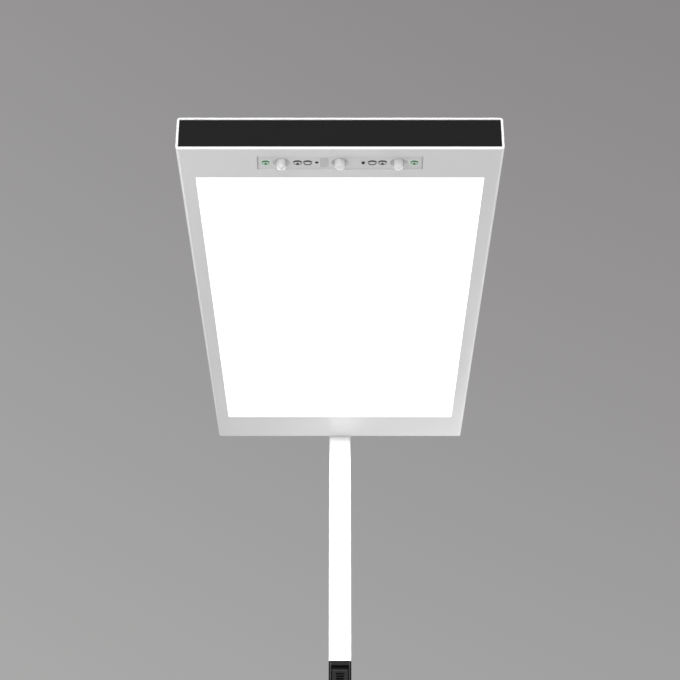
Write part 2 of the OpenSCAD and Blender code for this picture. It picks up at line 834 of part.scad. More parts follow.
// One casting: a plate on the tray, a tongue out of the head, and a block inside the pole
module neck_bracket() {
    block_w = pole_in_w - 2 * fit;
    y0 = y_pole + pole_wall + fit;
    y1 = y_pole_back - pole_wall - fit;
    color([0.7, 0.7, 0.72]) difference() {
        union() {
            block([-neck_plate_w / 2, y_neck, z_deck], [neck_plate_w / 2, y_neck_end, z_deck + neck_plate_t]);
            block([-tongue_w / 2, y_neck + 10, z_deck], [tongue_w / 2, y0 + over, neck_top]);
            block([-block_w / 2, y0, z_block], [block_w / 2, y1, neck_top]);
        }
        // channel up the block, and the groove that leads the wiring into the head
        block([-loom_groove / 2, y_loom - loom_groove / 2, z_block - over],
              [loom_groove / 2, y_loom + loom_groove / 2, neck_top + over]);
        block([-loom_groove / 2, y_neck - over, z_loom - loom_groove / 2],
              [loom_groove / 2, y_loom + loom_groove / 2, neck_top + over]);
        block([-loom_groove / 2, y_loom - loom_bend, z_loom - loom_bend - 1],
              [loom_groove / 2, y_loom + loom_groove / 2, neck_top + over]);
        at_neck_screws() translate([0, 0, -over])
            cylinder(d = neck_screw_d + 2 * screw_fit, h = neck_plate_t + 2 * over);
        pole_screw_holes();
    }
}

module neck_screws() {
    color("silver") at_neck_screws() translate([0, 0, neck_plate_t])
        pan_screw(neck_screw_d, 1.8 * neck_screw_d, neck_head_h, neck_plate_t + tray_t + nut_t);
}

module neck_nuts() {
    color("silver") at_neck_screws() translate([0, 0, -tray_t - nut_t]) difference() {
        cylinder(d = nut_af / cos(30), h = nut_t, $fn = 6);
        translate([0, 0, -over]) cylinder(d = neck_screw_d + 2 * screw_fit, h = nut_t + 2 * over);
    }
}

// ---- Pole ----

module pole_tube(z0, z1) {
    translate([0, y_pole_mid, z0]) linear_extrude(z1 - z0) pole_section();
}

module upper_pole() {
    color("white") difference() {
        pole_tube(z_control_top + seam, lamp_h - top_cap_t);
        tongue_way(y_pole - over, y_pole + pole_wall + over);
        pole_screw_holes();
    }
}

module lower_pole() {
    color("white") difference() {
        pole_tube(z_base_top, z_control - seam);
        pole_screw_holes();
        translate([0, y_pole_back, z_gland]) rotate([90, 0, 0])
            translate([0, 0, -over]) cylinder(d = gland_body_d + fit, h = pole_wall + 2 * over);
    }
}

module pole_top_cap() {
    color("white") translate([0, y_pole_mid, 0]) {
        translate([0, 0, lamp_h - top_cap_t]) linear_extrude(top_cap_t)
            round_rect(pole_w, pole_d, pole_r);
        translate([0, 0, lamp_h - top_cap_t - top_plug_h]) linear_extrude(top_plug_h + top_cap_t / 2)
            round_rect(pole_in_w - 2 * fit, pole_in_d - 2 * fit, pole_in_r);
    }
}

module pole_screws() {
    color("silver") at_pole_screws() csk_screw(pole_screw_d, pole_head_d, pole_screw_len);
}

// Wiring from the terminal block up the pole and over the tongue to the driver
module pole_loom() {
    z_start = z_gland + terminal_h / 2;
    z_bend = z_loom - loom_bend;
    color([0.2, 0.2, 0.2]) {
        translate([0, y_loom, z_start]) cylinder(d = loom_d, h = z_bend - z_start);
        translate([0, y_loom - loom_bend, z_bend]) rotate([0, -90, 0])
            rotate_extrude(angle = 90) translate([loom_bend, 0]) circle(d = loom_d);
        translate([0, y_loom - loom_bend, z_loom]) rotate([90, 0, 0])
            cylinder(d = loom_d, h = y_loom - loom_bend - y_driver_back);
    }
}

// ---- Control module ----

module control_housing() {
    color([0.13, 0.13, 0.13]) difference() {
        union() {
            difference() {
                translate([0, y_pole_mid, z_control]) linear_extrude(control_h)
                    round_rect(pole_w, pole_d, pole_r);
                block([-pole_in_w / 2, y_cavity, z_control - over],
                      [pole_in_w / 2, y_pole_back - pole_wall, z_control_top + over]);
            }
            at_control_posts() translate([0, -over, 0]) rotate([-90, 0, 0])
                cylinder(d = control_post_d, h = y_control_board - y_cavity + over);
        }
        block([-recess_w / 2, y_pole - over, z_recess_top - recess_h],
              [recess_w / 2, y_pole + recess_d, z_recess_top]);
        block([-stem_w / 2 - fit, y_pole, z_slider - travel_down - stem_h / 2 - fit],
              [stem_w / 2 + fit, y_cavity + over, z_slider + travel_up + stem_h / 2 + fit]);
        at_control_posts() translate([0, y_control_board - y_cavity - 6, 0]) rotate([-90, 0, 0])
            cylinder(d = control_screw_d + 2 * screw_fit, h = 6 + over);
        pole_screw_holes();
    }
}

module at_control_posts() {
    for (s = [-1, 1]) translate([0, y_cavity, z_control_mid + s * control_post_z]) children();
}

// Thumb slider with grip grooves, and a stem that takes the lever of the track
module dimmer_slider() {
    half_w = recess_w / 2 - slider_side_gap;
    y0 = y_pole + slider_sunk;
    color([0.16, 0.16, 0.16]) translate([0, 0, z_slider]) difference() {
        union() {
            block([-half_w, y0, -slider_h / 2], [half_w, y0 + slider_t, slider_h / 2]);
            block([-stem_w / 2, y0 + slider_t / 2, -stem_h / 2], [stem_w / 2, y_stem_end, stem_h / 2]);
        }
        for (k = [0 : groove_n - 1]) translate([0, y0, (k - (groove_n - 1) / 2) * groove_pitch])
            cube([groove_w, 2 * groove_depth, groove_h], center = true);
        block([-lever_w / 2 - 0.1, y_stem_end - 3, -lever_h / 2 - 0.1],
              [lever_w / 2 + 0.1, y_stem_end + over, lever_h / 2 + 0.1]);
    }
}

module dimmer_lever() {
    color("silver") translate([0, 0, z_slider])
        block([-lever_w / 2, y_stem_end - 2.8, -lever_h / 2], [lever_w / 2, y_track + 3.5, lever_h / 2]);
}

// Slide resistor: a case with a slot that the lever runs in
module dimmer_track() {
    slot_w = lever_w + 0.8;
    color([0.5, 0.52, 0.55]) difference() {
        block([-track_w / 2, y_track, z_track - track_h / 2],
              [track_w / 2, y_control_board, z_track + track_h / 2]);
        block([-slot_w / 2, y_track - over, z_slider - travel_down - lever_h / 2 - fit],
              [slot_w / 2, y_track + 4, z_slider + travel_up + lever_h / 2 + fit]);
    }
}

module control_board() {
    color([0.2, 0.45, 0.3]) difference() {
        block([-control_board_w / 2, y_control_board, z_control_mid - control_board_h / 2],
              [control_board_w / 2, y_control_board + board_t, z_control_mid + control_board_h / 2]);
        at_control_posts() translate([0, y_control_board - y_cavity - over, 0]) rotate([-90, 0, 0])
            cylinder(d = control_screw_d + 2 * screw_fit, h = board_t + 2 * over);
    }
}

module control_board_screws() {
    color("silver") at_control_posts()
        translate([0, y_control_board + board_t - y_cavity, 0]) rotate([-90, 0, 0])
            pan_screw(control_screw_d, 1.8 * control_screw_d, 1.2, board_t + 5);
}

// Hollow bar that joins the two pole tubes behind the control board
module pole_spigot() {
    z0 = z_control - spigot_reach;
    y0 = y_pole + spigot_front;
    color([0.7, 0.7, 0.72]) difference() {
        block([-spigot_w / 2, y0, z0], [spigot_w / 2, y0 + spigot_d, z_control_top + spigot_reach]);
        block([-spigot_w / 2 + spigot_wall, y0 + spigot_wall, z0 - over],
              [spigot_w / 2 - spigot_wall, y0 + spigot_d - spigot_wall, z_control_top + spigot_reach + over]);
        pole_screw_holes();
    }
}

// ---- Base ----

module at_foot_screws() {
    for (y = foot_screw_y) translate([0, y_pole + y, z_base]) rotate([180, 0, 0]) children();
}

module at_glides() {
    x = base_w / 2 - glide_inset;
    y = base_l / 2 - glide_inset;
    for (sx = [-1, 1], sy = [-1, 1]) translate([sx * x, y_base_mid + sy * y, 0]) children();
}

module base_plate() {
    color("white") difference() {
        translate([0, y_base_mid, z_base]) linear_extrude(base_t) round_rect(base_w, base_l, base_r);
        at_foot_screws() csk_hole(foot_screw_d, foot_head_d, base_t + over);
        at_glides() translate([0, 0, z_base - over])
            cylinder(d = glide_peg_d + 2 * screw_fit, h = glide_peg_h + fit + over);
    }
}

module foot_block() {
    y0 = y_pole + pole_wall + fit;
    y1 = y_pole_back - pole_wall - fit;
    half = pole_in_w / 2 - fit;
    color([0.7, 0.7, 0.72]) difference() {
        block([-half, y0, z_base_top], [half, y1, z_base_top + foot_h]);
        at_foot_screws() csk_hole(foot_screw_d, foot_head_d, foot_screw_len + 2);
        pole_screw_holes();
    }
}

module foot_screws() {
    color("silver") at_foot_screws() csk_screw(foot_screw_d, foot_head_d, foot_screw_len);
}

module glides() {
    color([0.15, 0.15, 0.15]) at_glides() {
        cylinder(d = glide_d, h = glide_h);
        cylinder(d = glide_peg_d, h = glide_h + glide_peg_h);
    }
}

module pole_collar() {
    color("white") translate([0, y_pole_mid, z_base_top]) linear_extrude(collar_h) difference() {
        round_rect(pole_w + fit + 2 * collar_w, pole_d + fit + 2 * collar_w, pole_r + collar_w);
        round_rect(pole_w + fit, pole_d + fit, pole_r);
    }
}

// Bush in the back of the pole where the mains lead goes in
module cable_gland() {
    color([0.13, 0.13, 0.13]) translate([0, y_pole_back, z_gland]) rotate([90, 0, 0]) difference() {
        union() {
            translate([0, 0, -gland_flange_t]) cylinder(d = gland_flange_d, h = gland_flange_t);
            translate([0, 0, -over]) cylinder(d = gland_body_d, h = pole_wall + gland_inside + over);
        }
        translate([0, 0, -gland_flange_t - over])
            cylinder(d = gland_bore_d, h = gland_flange_t + pole_wall + gland_inside + 2 * over);
    }
}

module gland_nut() {
    color([0.13, 0.13, 0.13]) translate([0, y_pole_back - pole_wall, z_gland]) rotate([90, 0, 0])
        difference() {
            rotate(30) cylinder(d = gland_nut_af / cos(30), h = gland_nut_t, $fn = 6);
            translate([0, 0, -over]) cylinder(d = gland_body_d + fit, h = gland_nut_t + 2 * over);
        }
}

// Three-way terminal block on the pole's front wall
module terminal_block() {
    y0 = y_pole + pole_wall;
    color([0.9, 0.9, 0.85]) difference() {
        block([-terminal_w / 2, y0, z_gland - terminal_h / 2],
              [terminal_w / 2, y0 + terminal_d, z_gland + terminal_h / 2]);
        for (k = [-1 : 1]) translate([k * terminal_w / 3, y0 + terminal_d, z_gland]) rotate([90, 0, 0])
            translate([0, 0, -over]) cylinder(d = 3.2, h = 10 + over);
    }
}

head_housing();
front_cap();
rear_cap();
rear_cap_screws();
direct_panel();
light_guide();
reflector_film();
edge_strip_left();
edge_strip_right();
edge_leds();
gear_tray();
tray_screws();
uplight_board_front();
uplight_board_rear();
uplight_leds();
uplight_cover();
led_driver();
driver_screws();
sensor_cable();
sensor_bezel();
sensor_board();
board_screws();
sensor_lens_left();
sensor_lens_centre();
sensor_lens_right();
motion_detectors();
indicator_window_left();
indicator_window_right();
indicator_leds();
status_window();
receiver_window();
light_sensor();
neck_bracket();
neck_screws();
neck_nuts();
upper_pole();
pole_top_cap();
pole_screws();
pole_loom();
control_housing();
dimmer_slider();
dimmer_lever();
dimmer_track();
control_board();
control_board_screws();
pole_spigot();
lower_pole();
pole_collar();
foot_block();
foot_screws();
base_plate();
glides();
cable_gland();
gland_nut();
terminal_block();
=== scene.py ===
"""Office floor lamp with a flat light head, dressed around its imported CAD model.

Every length is in metres, in the CAD model's own frame: +Z is up, the head reaches towards -Y, and
the origin is on the floor. Places come from the frame's boxes, and sizes and colours that the CAD
doesn't hold come from the property groups below.
"""

import json
import math

import bmesh
import bpy
import numpy as np
from bpy.props import FloatProperty, FloatVectorProperty, IntProperty, PointerProperty
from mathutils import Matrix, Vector


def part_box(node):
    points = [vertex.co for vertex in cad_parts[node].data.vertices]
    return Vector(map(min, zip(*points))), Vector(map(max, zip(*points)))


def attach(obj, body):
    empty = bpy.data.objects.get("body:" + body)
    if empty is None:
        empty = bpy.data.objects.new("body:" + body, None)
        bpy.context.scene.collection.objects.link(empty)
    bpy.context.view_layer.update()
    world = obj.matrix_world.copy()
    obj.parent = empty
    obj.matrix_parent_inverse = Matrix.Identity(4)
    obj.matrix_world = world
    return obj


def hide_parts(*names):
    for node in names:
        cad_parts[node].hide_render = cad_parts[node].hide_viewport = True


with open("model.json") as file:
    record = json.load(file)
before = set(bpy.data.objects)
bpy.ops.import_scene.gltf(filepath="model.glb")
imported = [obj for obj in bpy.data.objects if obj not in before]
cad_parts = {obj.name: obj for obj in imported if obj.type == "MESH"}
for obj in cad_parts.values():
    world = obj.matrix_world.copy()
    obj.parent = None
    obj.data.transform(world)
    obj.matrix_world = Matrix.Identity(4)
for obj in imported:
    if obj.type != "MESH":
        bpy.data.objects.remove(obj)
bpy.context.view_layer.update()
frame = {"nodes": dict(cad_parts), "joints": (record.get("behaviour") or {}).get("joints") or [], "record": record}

bl_info = {
    "name": "Office floor lamp",
    "version": (1, 0, 0),
    "blender": (4, 5, 0),
    "location": "3D View > Sidebar > Lamp",
    "description": "Builds the visible pieces, finishes and stage of an office floor lamp",
    "category": "Add Mesh",
}

MM = 0.001
X, Y, Z = 0, 1, 2
STAND, DIMMER = "stand", "dimmer"
MERGE = 0.002 * MM  # points closer than this are one
TOUCH = 0.02 * MM  # places closer than this count as the same
WIDE = math.pi  # spread of a light that shines all over its front
FINISHES = {}  # filled by the first operator


# ---------------------------------------------------------------- Sizes and colours

def length(name, description, millimetres):
    """A size property that is shown in the scene's units."""
    return FloatProperty(
        name=name, description=description, default=millimetres * MM, min=0.0,
        unit="LENGTH", subtype="DISTANCE", precision=5,
    )


def number(name, description, value):
    """A plain number property."""
    return FloatProperty(name=name, description=description, default=value)


def colour(name, description, value):
    """A colour property."""
    return FloatVectorProperty(
        name=name, description=description, default=value, min=0.0, max=1.0, size=3, subtype="COLOR",
    )


class LampHeadSizes(bpy.types.PropertyGroup):
    """Sizes of the head's visible pieces."""
    wall: length("Wall", "Thickness of the housing's wall", 2.2)
    corner: length("Corner", "Outer corner radius of the housing", 3.0)
    rim: length("Rim", "Rounding of the housing's cut edges", 0.35)
    fit: length("Fit", "Gap around a piece in its window", 0.3)
    chin: length("Chin", "Extra height of the housing's lower lip at its free end", 0.9)
    chin_depth: length("Chin depth", "Length of the thicker lip", 3.2)
    cap_edge: length("Cap edge", "Rounding of the end cap's edge", 0.4)
    rear_cap_edge: length("Rear cap edge", "Rounding of the rear cap's edge", 0.25)
    panel_edge: length("Panel edge", "Rounding of the light panel's edge", 0.3)
    panel_corner: length("Panel corner", "Corner radius of the light panel's face", 0.8)
    panel_lip: length("Panel lip", "Thickness of the lip behind the light panel's face", 1.5)
    rail: length("Rail", "Width of the rails in the housing's corners", 6.5)
    rail_corner: length("Rail corner", "Corner radius of the rails", 0.4)


class LampStripSizes(bpy.types.PropertyGroup):
    """Sizes of the sensor strip's visible pieces."""
    sheet: length("Sheet", "Thickness of the strip", 1.0)
    end_gap: length("End gap", "Extra gap at each end of the strip", 0.25)
    rear_lap: length("Rear lap", "How far the strip's rear edge reaches past its CAD node's", 0.28)
    window_gap: length("Window gap", "Gap around a window or a lens in the strip", 0.15)
    dish_width: length("Dish width", "Size of a lens dish across the head", 17.4)
    dish_length: length("Dish length", "Size of a lens dish along the head", 14.0)
    dish_depth: length("Dish depth", "Depth of a lens dish", 4.0)
    lens_wall: length("Lens wall", "Thickness of a lens", 0.8)
    lens_flange: length("Lens flange", "Width of the flange around a lens", 2.0)
    side_fullness: number("Side fullness", "Shape of the outer lenses: 2 is round, more is flatter", 2.3)
    centre_fullness: number("Centre fullness", "Shape of the middle lens: 2 is round, more is flatter", 3.6)
    receiver: length("Receiver", "Diameter of the flat black window", 3.7)
    light_sensor: length("Light sensor", "Diameter of the black dome", 3.7)
    mark_width: length("Mark width", "Width of an eye mark", 9.0)
    mark_depth: length("Mark depth", "Depth of an eye mark", 8.8)
    ink: length("Ink", "Thickness of the printed marks", 0.05)
    outer_mark: length("Outer mark", "Distance from the middle to the open eye marks", 41.8)
    inner_mark: length("Inner mark", "Distance from the middle to the closed eye marks", 31.8)


class LampControlSizes(bpy.types.PropertyGroup):
    """Sizes of the control module's visible pieces."""
    wall: length("Wall", "Thickness of the module's wall", 2.0)
    corner: length("Corner", "Corner radius of the pole and the module", 3.0)
    chamfer: length("Chamfer", "Chamfer around the recess", 0.6)
    recess_depth: length("Recess depth", "Depth of the slider's recess", 4.5)
    recess_width: length("Recess width", "Width of the slider's recess", 21.4)
    end_gap: length("End gap", "Gap left at each end of the slider's travel", 0.3)
    rim_above: length("Rim above", "Height of the rim above the recess", 6.0)
    groove_width: length("Groove width", "Width of a grip groove", 9.8)
    groove_height: length("Groove height", "Height of a grip groove", 2.0)
    groove_depth: length("Groove depth", "Depth of a grip groove", 2.6)
    groove_pitch: length("Groove pitch", "Distance between grip grooves", 3.3)
    grooves: IntProperty(name="Grooves", description="Number of grip grooves", default=5, min=1, max=7)
    # The next three sizes place the painted highlights: pale bands that paint the light caught by the recess's
    # chamfers.
    highlight_inset: length("Worn inset", "Distance of the rubbed edges from the module's sides", 2.3)
    highlight_reach: length("Worn reach", "Half the width of a rubbed edge", 0.4)
    highlight_depth: length("Worn depth", "How far back from its front the module is rubbed", 1.0)


class LampBaseSizes(bpy.types.PropertyGroup):
    """Sizes of the pole's trims and the base's visible pieces."""
    plate_edge: length("Plate edge", "Rounding of the base plate's edges", 0.8)
    top_cap_edge: length("Top cap edge", "Rounding of the cap on top of the pole", 0.25)
    collar_edge: length("Collar edge", "Rounding of the collar's top edge", 1.2)
    collar_gap: length("Collar gap", "Gap between the collar and the pole", 0.3)
    glide_radius: length("Glide radius", "Radius of a glide", 15.0)
    glide_hollow: length("Glide hollow", "Depth of the hollow under a glide", 0.5)
    gland_ribs: IntProperty(
        name="Gland ribs", description="Grip ribs around the gland", default=18, min=6,
    )


class LampColours(bpy.types.PropertyGroup):
    """Colours of the finishes, as linear values."""
    white: colour("White", "Powder coat of the head, pole and base", (0.83, 0.83, 0.835))
    # One black plastic: its own black, raised a little to paint the reflection of the front lights, which are not
    # seen in gloss. The control module and the thumb use darker copies of it.
    black: colour("Black", "Plastic of the end cap and the control module", (0.0096, 0.0096, 0.0098))
    # Tint of the painted highlights along the control module's recess edges.
    worn: colour("Worn", "Rubbed edges of the control module", (0.036, 0.036, 0.037))
    strip: colour("Strip", "Plastic of the sensor strip", (0.74, 0.74, 0.745))
    lens: colour("Lens", "Opal plastic of the lenses", (0.90, 0.90, 0.905))
    status: colour("Status", "Smoked status window", (0.63, 0.63, 0.64))
    ink: colour("Ink", "Print of the eye marks", (0.035, 0.035, 0.037))
    green: colour("Green", "Print of the indicator marks", (0.035, 0.145, 0.060))
    glow: colour("Glow", "Light of the indicator windows", (0.30, 0.80, 0.38))
    light: colour("Light", "Light of the panel", (1.0, 1.0, 0.99))


class LampStage(bpy.types.PropertyGroup):
    """Camera, light and floor."""
    lens: number("Lens", "Camera's focal length in mm", 83.58)
    pitch: FloatProperty(
        name="Pitch", description="Angle at which the camera looks up", default=math.radians(29.20),
        subtype="ANGLE",
    )
    camera_back: length("Camera back", "Distance from the camera to the head's free end", 1247.3)
    camera_below: length("Camera below", "Height of the head's underside above the camera", 909.2)
    panel_glow: number("Panel glow", "Brightness of the light panel", 1.0)
    panel_power: number("Panel power", "Watts that the panel sheds", 4.6)
    front_power: number("Front power", "Watts of each high front light", 58.0)
    low_power: number("Low power", "Watts of the low front light", 8.0)
    left_power: number("Left power", "Watts of the light close on the left", 0.45)
    rear_left_power: number("Rear left power", "Watts of the low light behind on the left", 3.6)
    rear_power: number("Rear power", "Watts of the low light behind on the right", 12.0)
    top_power: number("Top power", "Watts of the light above", 22.0)
    floor: colour("Floor", "Colour of the floor", (0.62, 0.62, 0.62))
    floor_radius: length("Floor radius", "Radius of the floor", 3400.0)
    fade_start: length("Fade start", "Distance at which the floor starts to fade", 1000.0)
    fade_end: length("Fade end", "Distance at which the floor is clear", 3300.0)
    zenith: colour("Zenith", "Backdrop straight above", (0.187, 0.174, 0.180))
    horizon: colour("Horizon", "Backdrop at the horizon", (0.457, 0.455, 0.452))
    slant: number("Slant", "How much the backdrop darkens to the right, as a share of upwards", 0.42)


GROUPS = {
    "lamp_head": LampHeadSizes, "lamp_strip": LampStripSizes, "lamp_control": LampControlSizes,
    "lamp_base": LampBaseSizes, "lamp_colours": LampColours, "lamp_stage": LampStage,
}


# ---------------------------------------------------------------- Reading the frame

def box_of(node):
    """Lowest and highest corner of a CAD node, as arrays."""
    low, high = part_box(node)
    return np.array(low), np.array(high)


def points_of(node):
    """All the points of a CAD node, as an array of rows."""
    mesh = frame["nodes"][node].data
    points = np.zeros(len(mesh.vertices) * 3, np.float32)
    mesh.vertices.foreach_get("co", points)
    return points.reshape(-1, 3).astype(float)


def layer_of(node, axis, end):
    """Box of the points of a CAD node at one end (-1 or 1) of an axis: its face on that side."""
    points = points_of(node)
    level = points[:, axis].min() if end < 0 else points[:, axis].max()
    face = points[abs(points[:, axis] - level) < TOUCH]
    return face.min(0), face.max(0)


# ---------------------------------------------------------------- Surfaces worked out as arrays

class Surface:
    """Points as rows, and faces as arrays of point numbers. Adding two surfaces joins their lists."""

    def __init__(self, points, *faces):
        self.points = np.asarray(points, float).reshape(-1, 3)
        self.faces = [np.asarray(f, int) for f in faces if len(f)]

    def __add__(self, other):
        shifted = [f + len(self.points) for f in other.faces]
        return Surface(np.vstack([self.points, other.points]), *self.faces, *shifted)

    def moved(self, x=0.0, y=0.0, z=0.0):
        """The same surface in another place."""
        return Surface(self.points + [x, y, z], *self.faces)


def joined(surfaces):
    """All of the surfaces as one."""
    return sum(surfaces[1:], surfaces[0])


def loft(rings, closed=False):
    """Skin over closed rings, an array (rings, points, 3).

    Each ring's points are joined to the next ring's by four-sided faces. The two ends get a fan about
    their middle, or the last ring goes back to the first one.
    """
    rings = np.asarray(rings, float)
    count, size = rings.shape[:2]
    index = np.arange(count * size).reshape(count, size)
    here = index if closed else index[:-1]
    there = np.roll(index, -1, 0) if closed else index[1:]
    quads = np.stack([here, np.roll(here, -1, 1), np.roll(there, -1, 1), there], -1).reshape(-1, 4)
    if closed:
        return Surface(rings.reshape(-1, 3), quads)
    middles = rings[[0, -1]].mean(1)
    points = np.vstack([rings.reshape(-1, 3), middles])
    ends = [(index[0], count * size), (index[-1], count * size + 1)]
    fans = [np.stack([ring, np.roll(ring, -1), np.full(size, tip)], -1) for ring, tip in ends]
    return Surface(points, quads, np.vstack(fans))


def skin(outer, inner, keep, around=False):
    """Closed wall between two grids of points, both (u, v, 3).

    keep says for each cell of the grid whether it is there. The outer and the inner face have the kept
    cells, and a strip joins the two faces along each edge between a kept cell and an opening or the rim.
    With around, the last row of u goes back to the first.
    """
    rows, columns = outer.shape[:2]
    index = np.arange(rows * columns).reshape(rows, columns)
    if around:
        index = np.vstack([index, index[:1]])
    a, b, c, d = index[:-1, :-1], index[1:, :-1], index[1:, 1:], index[:-1, 1:]
    cells = np.stack([a, b, c, d], -1)[keep]
    depth = rows * columns
    wrap = "wrap" if around else "constant"
    rim_u = np.pad(keep, ((1, 1), (0, 0)), wrap)
    rim_u = rim_u[1:] != rim_u[:-1]
    if around:
        rim_u[-1] = False
    rim_v = np.pad(keep, ((0, 0), (1, 1)))
    rim_v = rim_v[:, 1:] != rim_v[:, :-1]
    edge_u = np.stack([index[:, :-1], index[:, 1:]], -1)[rim_u]
    edge_v = np.stack([index[:-1], index[1:]], -1)[rim_v]
    edges = np.vstack([edge_u, edge_v])
    walls = np.hstack([edges, edges[:, ::-1] + depth])
    points = np.vstack([outer.reshape(-1, 3), inner.reshape(-1, 3)])
    return Surface(points, cells, cells[:, ::-1] + depth, walls)


def thicken(surface, shift):
    """Closed plate from an open sheet of four-sided faces.

    Equal points are merged, the sheet is repeated at the shift, and every edge that only one face has
    gets a wall.
    """
    rounded = np.round(surface.points / (MERGE / 2)).astype(np.int64)
    _, first, merged = np.unique(rounded, axis=0, return_index=True, return_inverse=True)
    merged = merged.reshape(-1)
    points = surface.points[first]
    quads = np.vstack([merged[f] for f in surface.faces])
    sides = np.stack([quads, np.roll(quads, -1, 1)], -1).reshape(-1, 2)
    sides = sides[sides[:, 0] != sides[:, 1]]
    keys = np.sort(sides, 1)
    _, place, times = np.unique(keys, axis=0, return_index=True, return_counts=True)
    rim = sides[place[times == 1]]
    walls = np.hstack([rim, rim[:, ::-1] + len(points)])
    both = np.vstack([points, points + np.asarray(shift, float)])
    return Surface(both, quads, quads[:, ::-1] + len(points), walls)


def sheet(grid, keep=None):
    """Open sheet over a grid of points (u, v, 3), with the cells that keep names."""
    rows, columns = grid.shape[:2]
    index = np.arange(rows * columns).reshape(rows, columns)
    cells = np.stack([index[:-1, :-1], index[1:, :-1], index[1:, 1:], index[:-1, 1:]], -1)
    cells = cells.reshape(-1, 4) if keep is None else cells[keep]
    return Surface(grid.reshape(-1, 3), cells)


def circle_points(count):
    """Points (cos a, sin a) at even angles a around the whole turn."""
    angle = np.linspace(0, 2 * np.pi, count, endpoint=False)
    return np.c_[np.cos(angle), np.sin(angle)]


def rounded_outline(width, height, radius, steps=8, low_cuts=(), high_cuts=()):
    """Rectangle with round corners, anticlockwise from its low side.

    Each corner is a quarter circle of the radius about a point that lies the radius inside both sides.
    The cuts are extra places along the low and the high side.
    """
    radius = max(radius, TOUCH)
    turn = np.linspace(0, np.pi / 2, steps + 1)
    x, y = width / 2 - radius, height / 2 - radius

    def corner(sx, sy, start):
        return np.c_[sx * x + radius * np.cos(start + turn), sy * y + radius * np.sin(start + turn)]

    low = np.array([[c, -height / 2] for c in sorted(low_cuts)]).reshape(-1, 2)
    high = np.array([[c, height / 2] for c in sorted(high_cuts, reverse=True)]).reshape(-1, 2)
    return np.vstack([
        low, corner(1, -1, -np.pi / 2), corner(1, 1, 0), high,
        corner(-1, 1, np.pi / 2), corner(-1, -1, np.pi),
    ])


def lifted(outline, level, centre=(0.0, 0.0), upright=False):
    """A flat outline as points in space: level is its height, or with upright its place along Y."""
    first, second = outline[:, 0] + centre[0], outline[:, 1] + centre[1]
    third = np.full(len(outline), level)
    return np.c_[first, third, second] if upright else np.c_[first, second, third]


def edge_levels(start, stop, radius, steps=4):
    """(level, inset) pairs across a plate, from a soft edge at start to a sharp one at stop.

    The soft edge is a quarter circle: at angle a the level is the radius times (1 - sin a) from the
    face, and the outline is drawn in by the radius times (1 - cos a). One more outline on the face
    itself, drawn in by 1.3 radii, keeps the face's shading flat.
    """
    sign = 1 if stop > start else -1
    turn = np.linspace(np.pi / 2, 0, steps + 1)
    rise = np.r_[0.0, radius * (1 - np.sin(turn))]
    inset = np.r_[1.3 * radius, radius * (1 - np.cos(turn))]
    return [(start + sign * r, i) for r, i in zip(rise, inset)] + [(stop, 0.0)]


def plate_rings(width, height, corner, levels, centre=(0.0, 0.0), upright=False, steps=8):
    """Outlines of a plate with round corners: one for each (level, inset), drawn in by the inset."""
    return [
        lifted(rounded_outline(width - 2 * i, height - 2 * i, corner - i, steps), level, centre, upright)
        for level, i in levels
    ]


def bar(width, height, corner, start, stop, centre, steps):
    """Straight bar along Y with round edges."""
    return loft(plate_rings(width, height, corner, [(start, 0), (stop, 0)], centre, True, steps))


def turned(profile, centre, segments=48, closed=False, ribs=None):
    """Surface of revolution about a vertical line through centre.

    profile is rows of (radius, height). The point at angle a is the radius times (cos a, sin a). With
    ribs, a function of the profile's row numbers and the angle scales the radius.
    """
    profile = np.asarray(profile, float)
    angle = np.linspace(0, 2 * np.pi, segments, endpoint=False)
    radius = np.maximum(profile[:, :1], TOUCH / 2) * np.ones(segments)
    if ribs is not None:
        radius = radius * ribs(np.arange(len(profile))[:, None], angle[None, :])
    height = profile[:, 1:] * np.ones(segments)
    rings = np.stack([radius * np.cos(angle), radius * np.sin(angle), height], -1)
    return loft(rings + np.asarray(centre, float), closed)


# ---------------------------------------------------------------- Putting pieces in the scene

def put_piece(name, surface, slot, nodes=(), finish=None, body=STAND, smooth=30.0):
    """Makes an object of a surface: merges its doubles, turns its faces outwards, gives it the finish for its
    slot, or the finish given instead, puts it under its body, and hides the CAD nodes that it stands for."""
    mesh = bpy.data.meshes.new(name)
    faces = [face for group in surface.faces for face in group.tolist()]
    mesh.from_pydata(surface.points.tolist(), [], faces)
    work = bmesh.new()
    work.from_mesh(mesh)
    bmesh.ops.remove_doubles(work, verts=work.verts, dist=MERGE)
    bmesh.ops.recalc_face_normals(work, faces=work.faces)
    work.to_mesh(mesh)
    work.free()
    mesh.polygons.foreach_set("use_smooth", np.ones(len(mesh.polygons), bool))
    mesh.set_sharp_from_angle(angle=math.radians(smooth))
    mesh.materials.append(FINISHES[finish or slot])
    piece = bpy.data.objects.new(name, mesh)
    bpy.context.scene.collection.objects.link(piece)
    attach(piece, body)
    if nodes:
        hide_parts(*nodes)
    return piece


def bevel(piece, width, segments=2, angle=40.0):
    """Rounds the piece's sharp edges with a live Bevel modifier."""
    modifier = piece.modifiers.new("Soft edges", "BEVEL")
    modifier.width = width
    modifier.segments = segments
    modifier.limit_method = "ANGLE"
    modifier.angle_limit = math.radians(angle)
    modifier.harden_normals = True


def soften(node, width, segments=2):
    """Merges a CAD node's loose triangles and rounds its sharp edges, with modifiers alone."""
    piece = frame["nodes"][node]
    weld = piece.modifiers.new("Weld", "WELD")
    weld.merge_threshold = MERGE
    bevel(piece, width, segments)


# ---------------------------------------------------------------- Shader maths

def math_method(operation, reflected=False):
    """A method that adds one Math node, with its two values swapped when reflected."""
    def method(self, *others):
        values = (self, *others)
        return self.graph.math(operation, *(values[::-1] if reflected else values))
    return method


